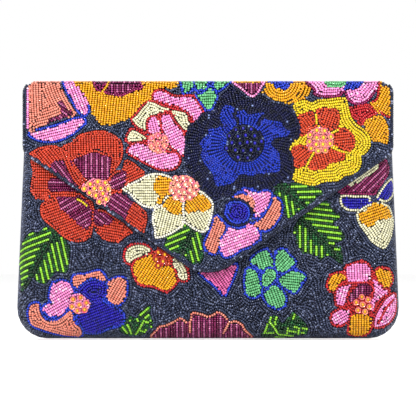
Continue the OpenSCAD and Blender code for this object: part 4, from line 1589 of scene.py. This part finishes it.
# Each crease: its pivot, which way it turns, its panel, the cloth's half widths and the panel's inner face
creases = {
    "flap_crease": (flapPivot, 1, "flap", (119.6, 114.6), bag["flapIn"]),
    "back_crease": (backPivot, -1, "back", (120.2, 114.6), bag["seam"]),
}
clothBend = {"radius": 0.25, "down": 5.6, "over": 4.8, "thick": 0.4}
for creaseName, (pivot, sign, panel, halves, face) in creases.items():
    outer = quarter(pivot, clothBend["radius"], sign)
    tails = (outer[0][0], pivot.z - clothBend["down"]), (pivot.y + sign * clothBend["over"], outer[-1][1])
    acrossCrease(panel + "_crease_cloth", [tails[0]] + outer + [tails[1]], halves, clothBend["thick"],
                 groundCloth)
inner = bag["foldUnder"] + 0.1
satinBend = {"halves": (116, 114.4), "thick": 0.2}
for creaseName, (pivot, sign, panel, halves, face) in creases.items():
    profile = [(face + sign * 0.1, pivot.z - 6.2), (face + sign * 0.1, pivot.z - 1.3),
               (face + sign * 0.3, inner - 0.35), (face + sign * 1.2, inner - 0.2),
               (face + sign * 5.4, inner - 0.15)]
    acrossCrease(panel + "_crease_lining", profile, satinBend["halves"], satinBend["thick"],
                 liningSatin)
print("linings, pocket and creases set")


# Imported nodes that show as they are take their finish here
nodeFinish = {
    groundCloth: ["back_cloth", "front_cloth", "fold_cloth", "flap_cloth"],
    paperBoard: ["back_board", "front_board", "flap_board"],
    bindingTape: ["edge_binding", "mouth_binding"],
    snapMetal: ["snap_socket", "snap_stud", "snap_socket_washer", "snap_stud_washer"],
    magnetFace: ["snap_magnet"],
}
for finish, names in nodeFinish.items():
    for name in names:
        nodes[name].data.materials.clear()
        nodes[name].data.materials.append(finish)

# A pale floor, a soft light on each side and a white surround
studio = {"floor": 6.0, "world": 1.0, "keyPower": 20.0, "fillPower": 6.0, "topPower": 10.0,
          "lens": 400.0, "sensor": 36.0, "viewWidth": 0.2755, "eyeHeight": 0.0868}
bpy.ops.mesh.primitive_plane_add(size=studio["floor"], location=(0, 0, -0.0006))
floor = bpy.context.object
floor.name = "floor"
floorPaper, floorTree, floorShader = newMaterial("floorPaper", **{"Roughness": 0.9})
floorNoise = addNode(floorTree, "ShaderNodeTexNoise", {"Scale": 3.0})
floorRamp = addNode(floorTree, "ShaderNodeValToRGB", {"Fac": floorNoise.outputs["Fac"]})
floorRamp.color_ramp.elements[0].color = colour("#f4f4f4")
floorRamp.color_ramp.elements[1].color = colour("#fafafa")
floorTree.links.new(floorRamp.outputs["Color"], floorShader.inputs["Base Color"])
floor.data.materials.append(floorPaper)

world = bpy.data.worlds.new("studioWhite")
world.use_nodes = True
world.node_tree.nodes["Background"].inputs["Color"].default_value = (1, 1, 1, 1)
world.node_tree.nodes["Background"].inputs["Strength"].default_value = studio["world"]
bpy.context.scene.world = world


def softLight(name, place, target, size, power):
    light = bpy.data.lights.new(name, "AREA")
    light.energy, light.size = power, size
    lamp = bpy.data.objects.new(name, light)
    lamp.location = place
    lamp.rotation_euler = (Vector(target) - Vector(place)).to_track_quat("-Z", "Y").to_euler()
    bpy.context.scene.collection.objects.link(lamp)


middle = (0, 0, 0.085)
softLight("keyLight", (-0.7, -1.1, 0.9), middle, 0.2, studio["keyPower"])
softLight("fillLight", (0.9, -1.0, 0.4), middle, 0.8, studio["fillPower"])
softLight("topLight", (0, 0.3, 1.3), middle, 0.8, studio["topPower"])

camera = bpy.data.objects.new("camera", bpy.data.cameras.new("camera"))
camera.data.lens, camera.data.sensor_width = studio["lens"], studio["sensor"]
eyeBack = studio["viewWidth"] * studio["lens"] / studio["sensor"]
camera.location = (0, bag["flapOut"] / 1000 - eyeBack, studio["eyeHeight"])
camera.rotation_euler = (math.pi / 2, 0, 0)
bpy.context.scene.collection.objects.link(camera)
bpy.context.scene.camera = camera
bpy.context.scene.view_settings.view_transform = "Standard"
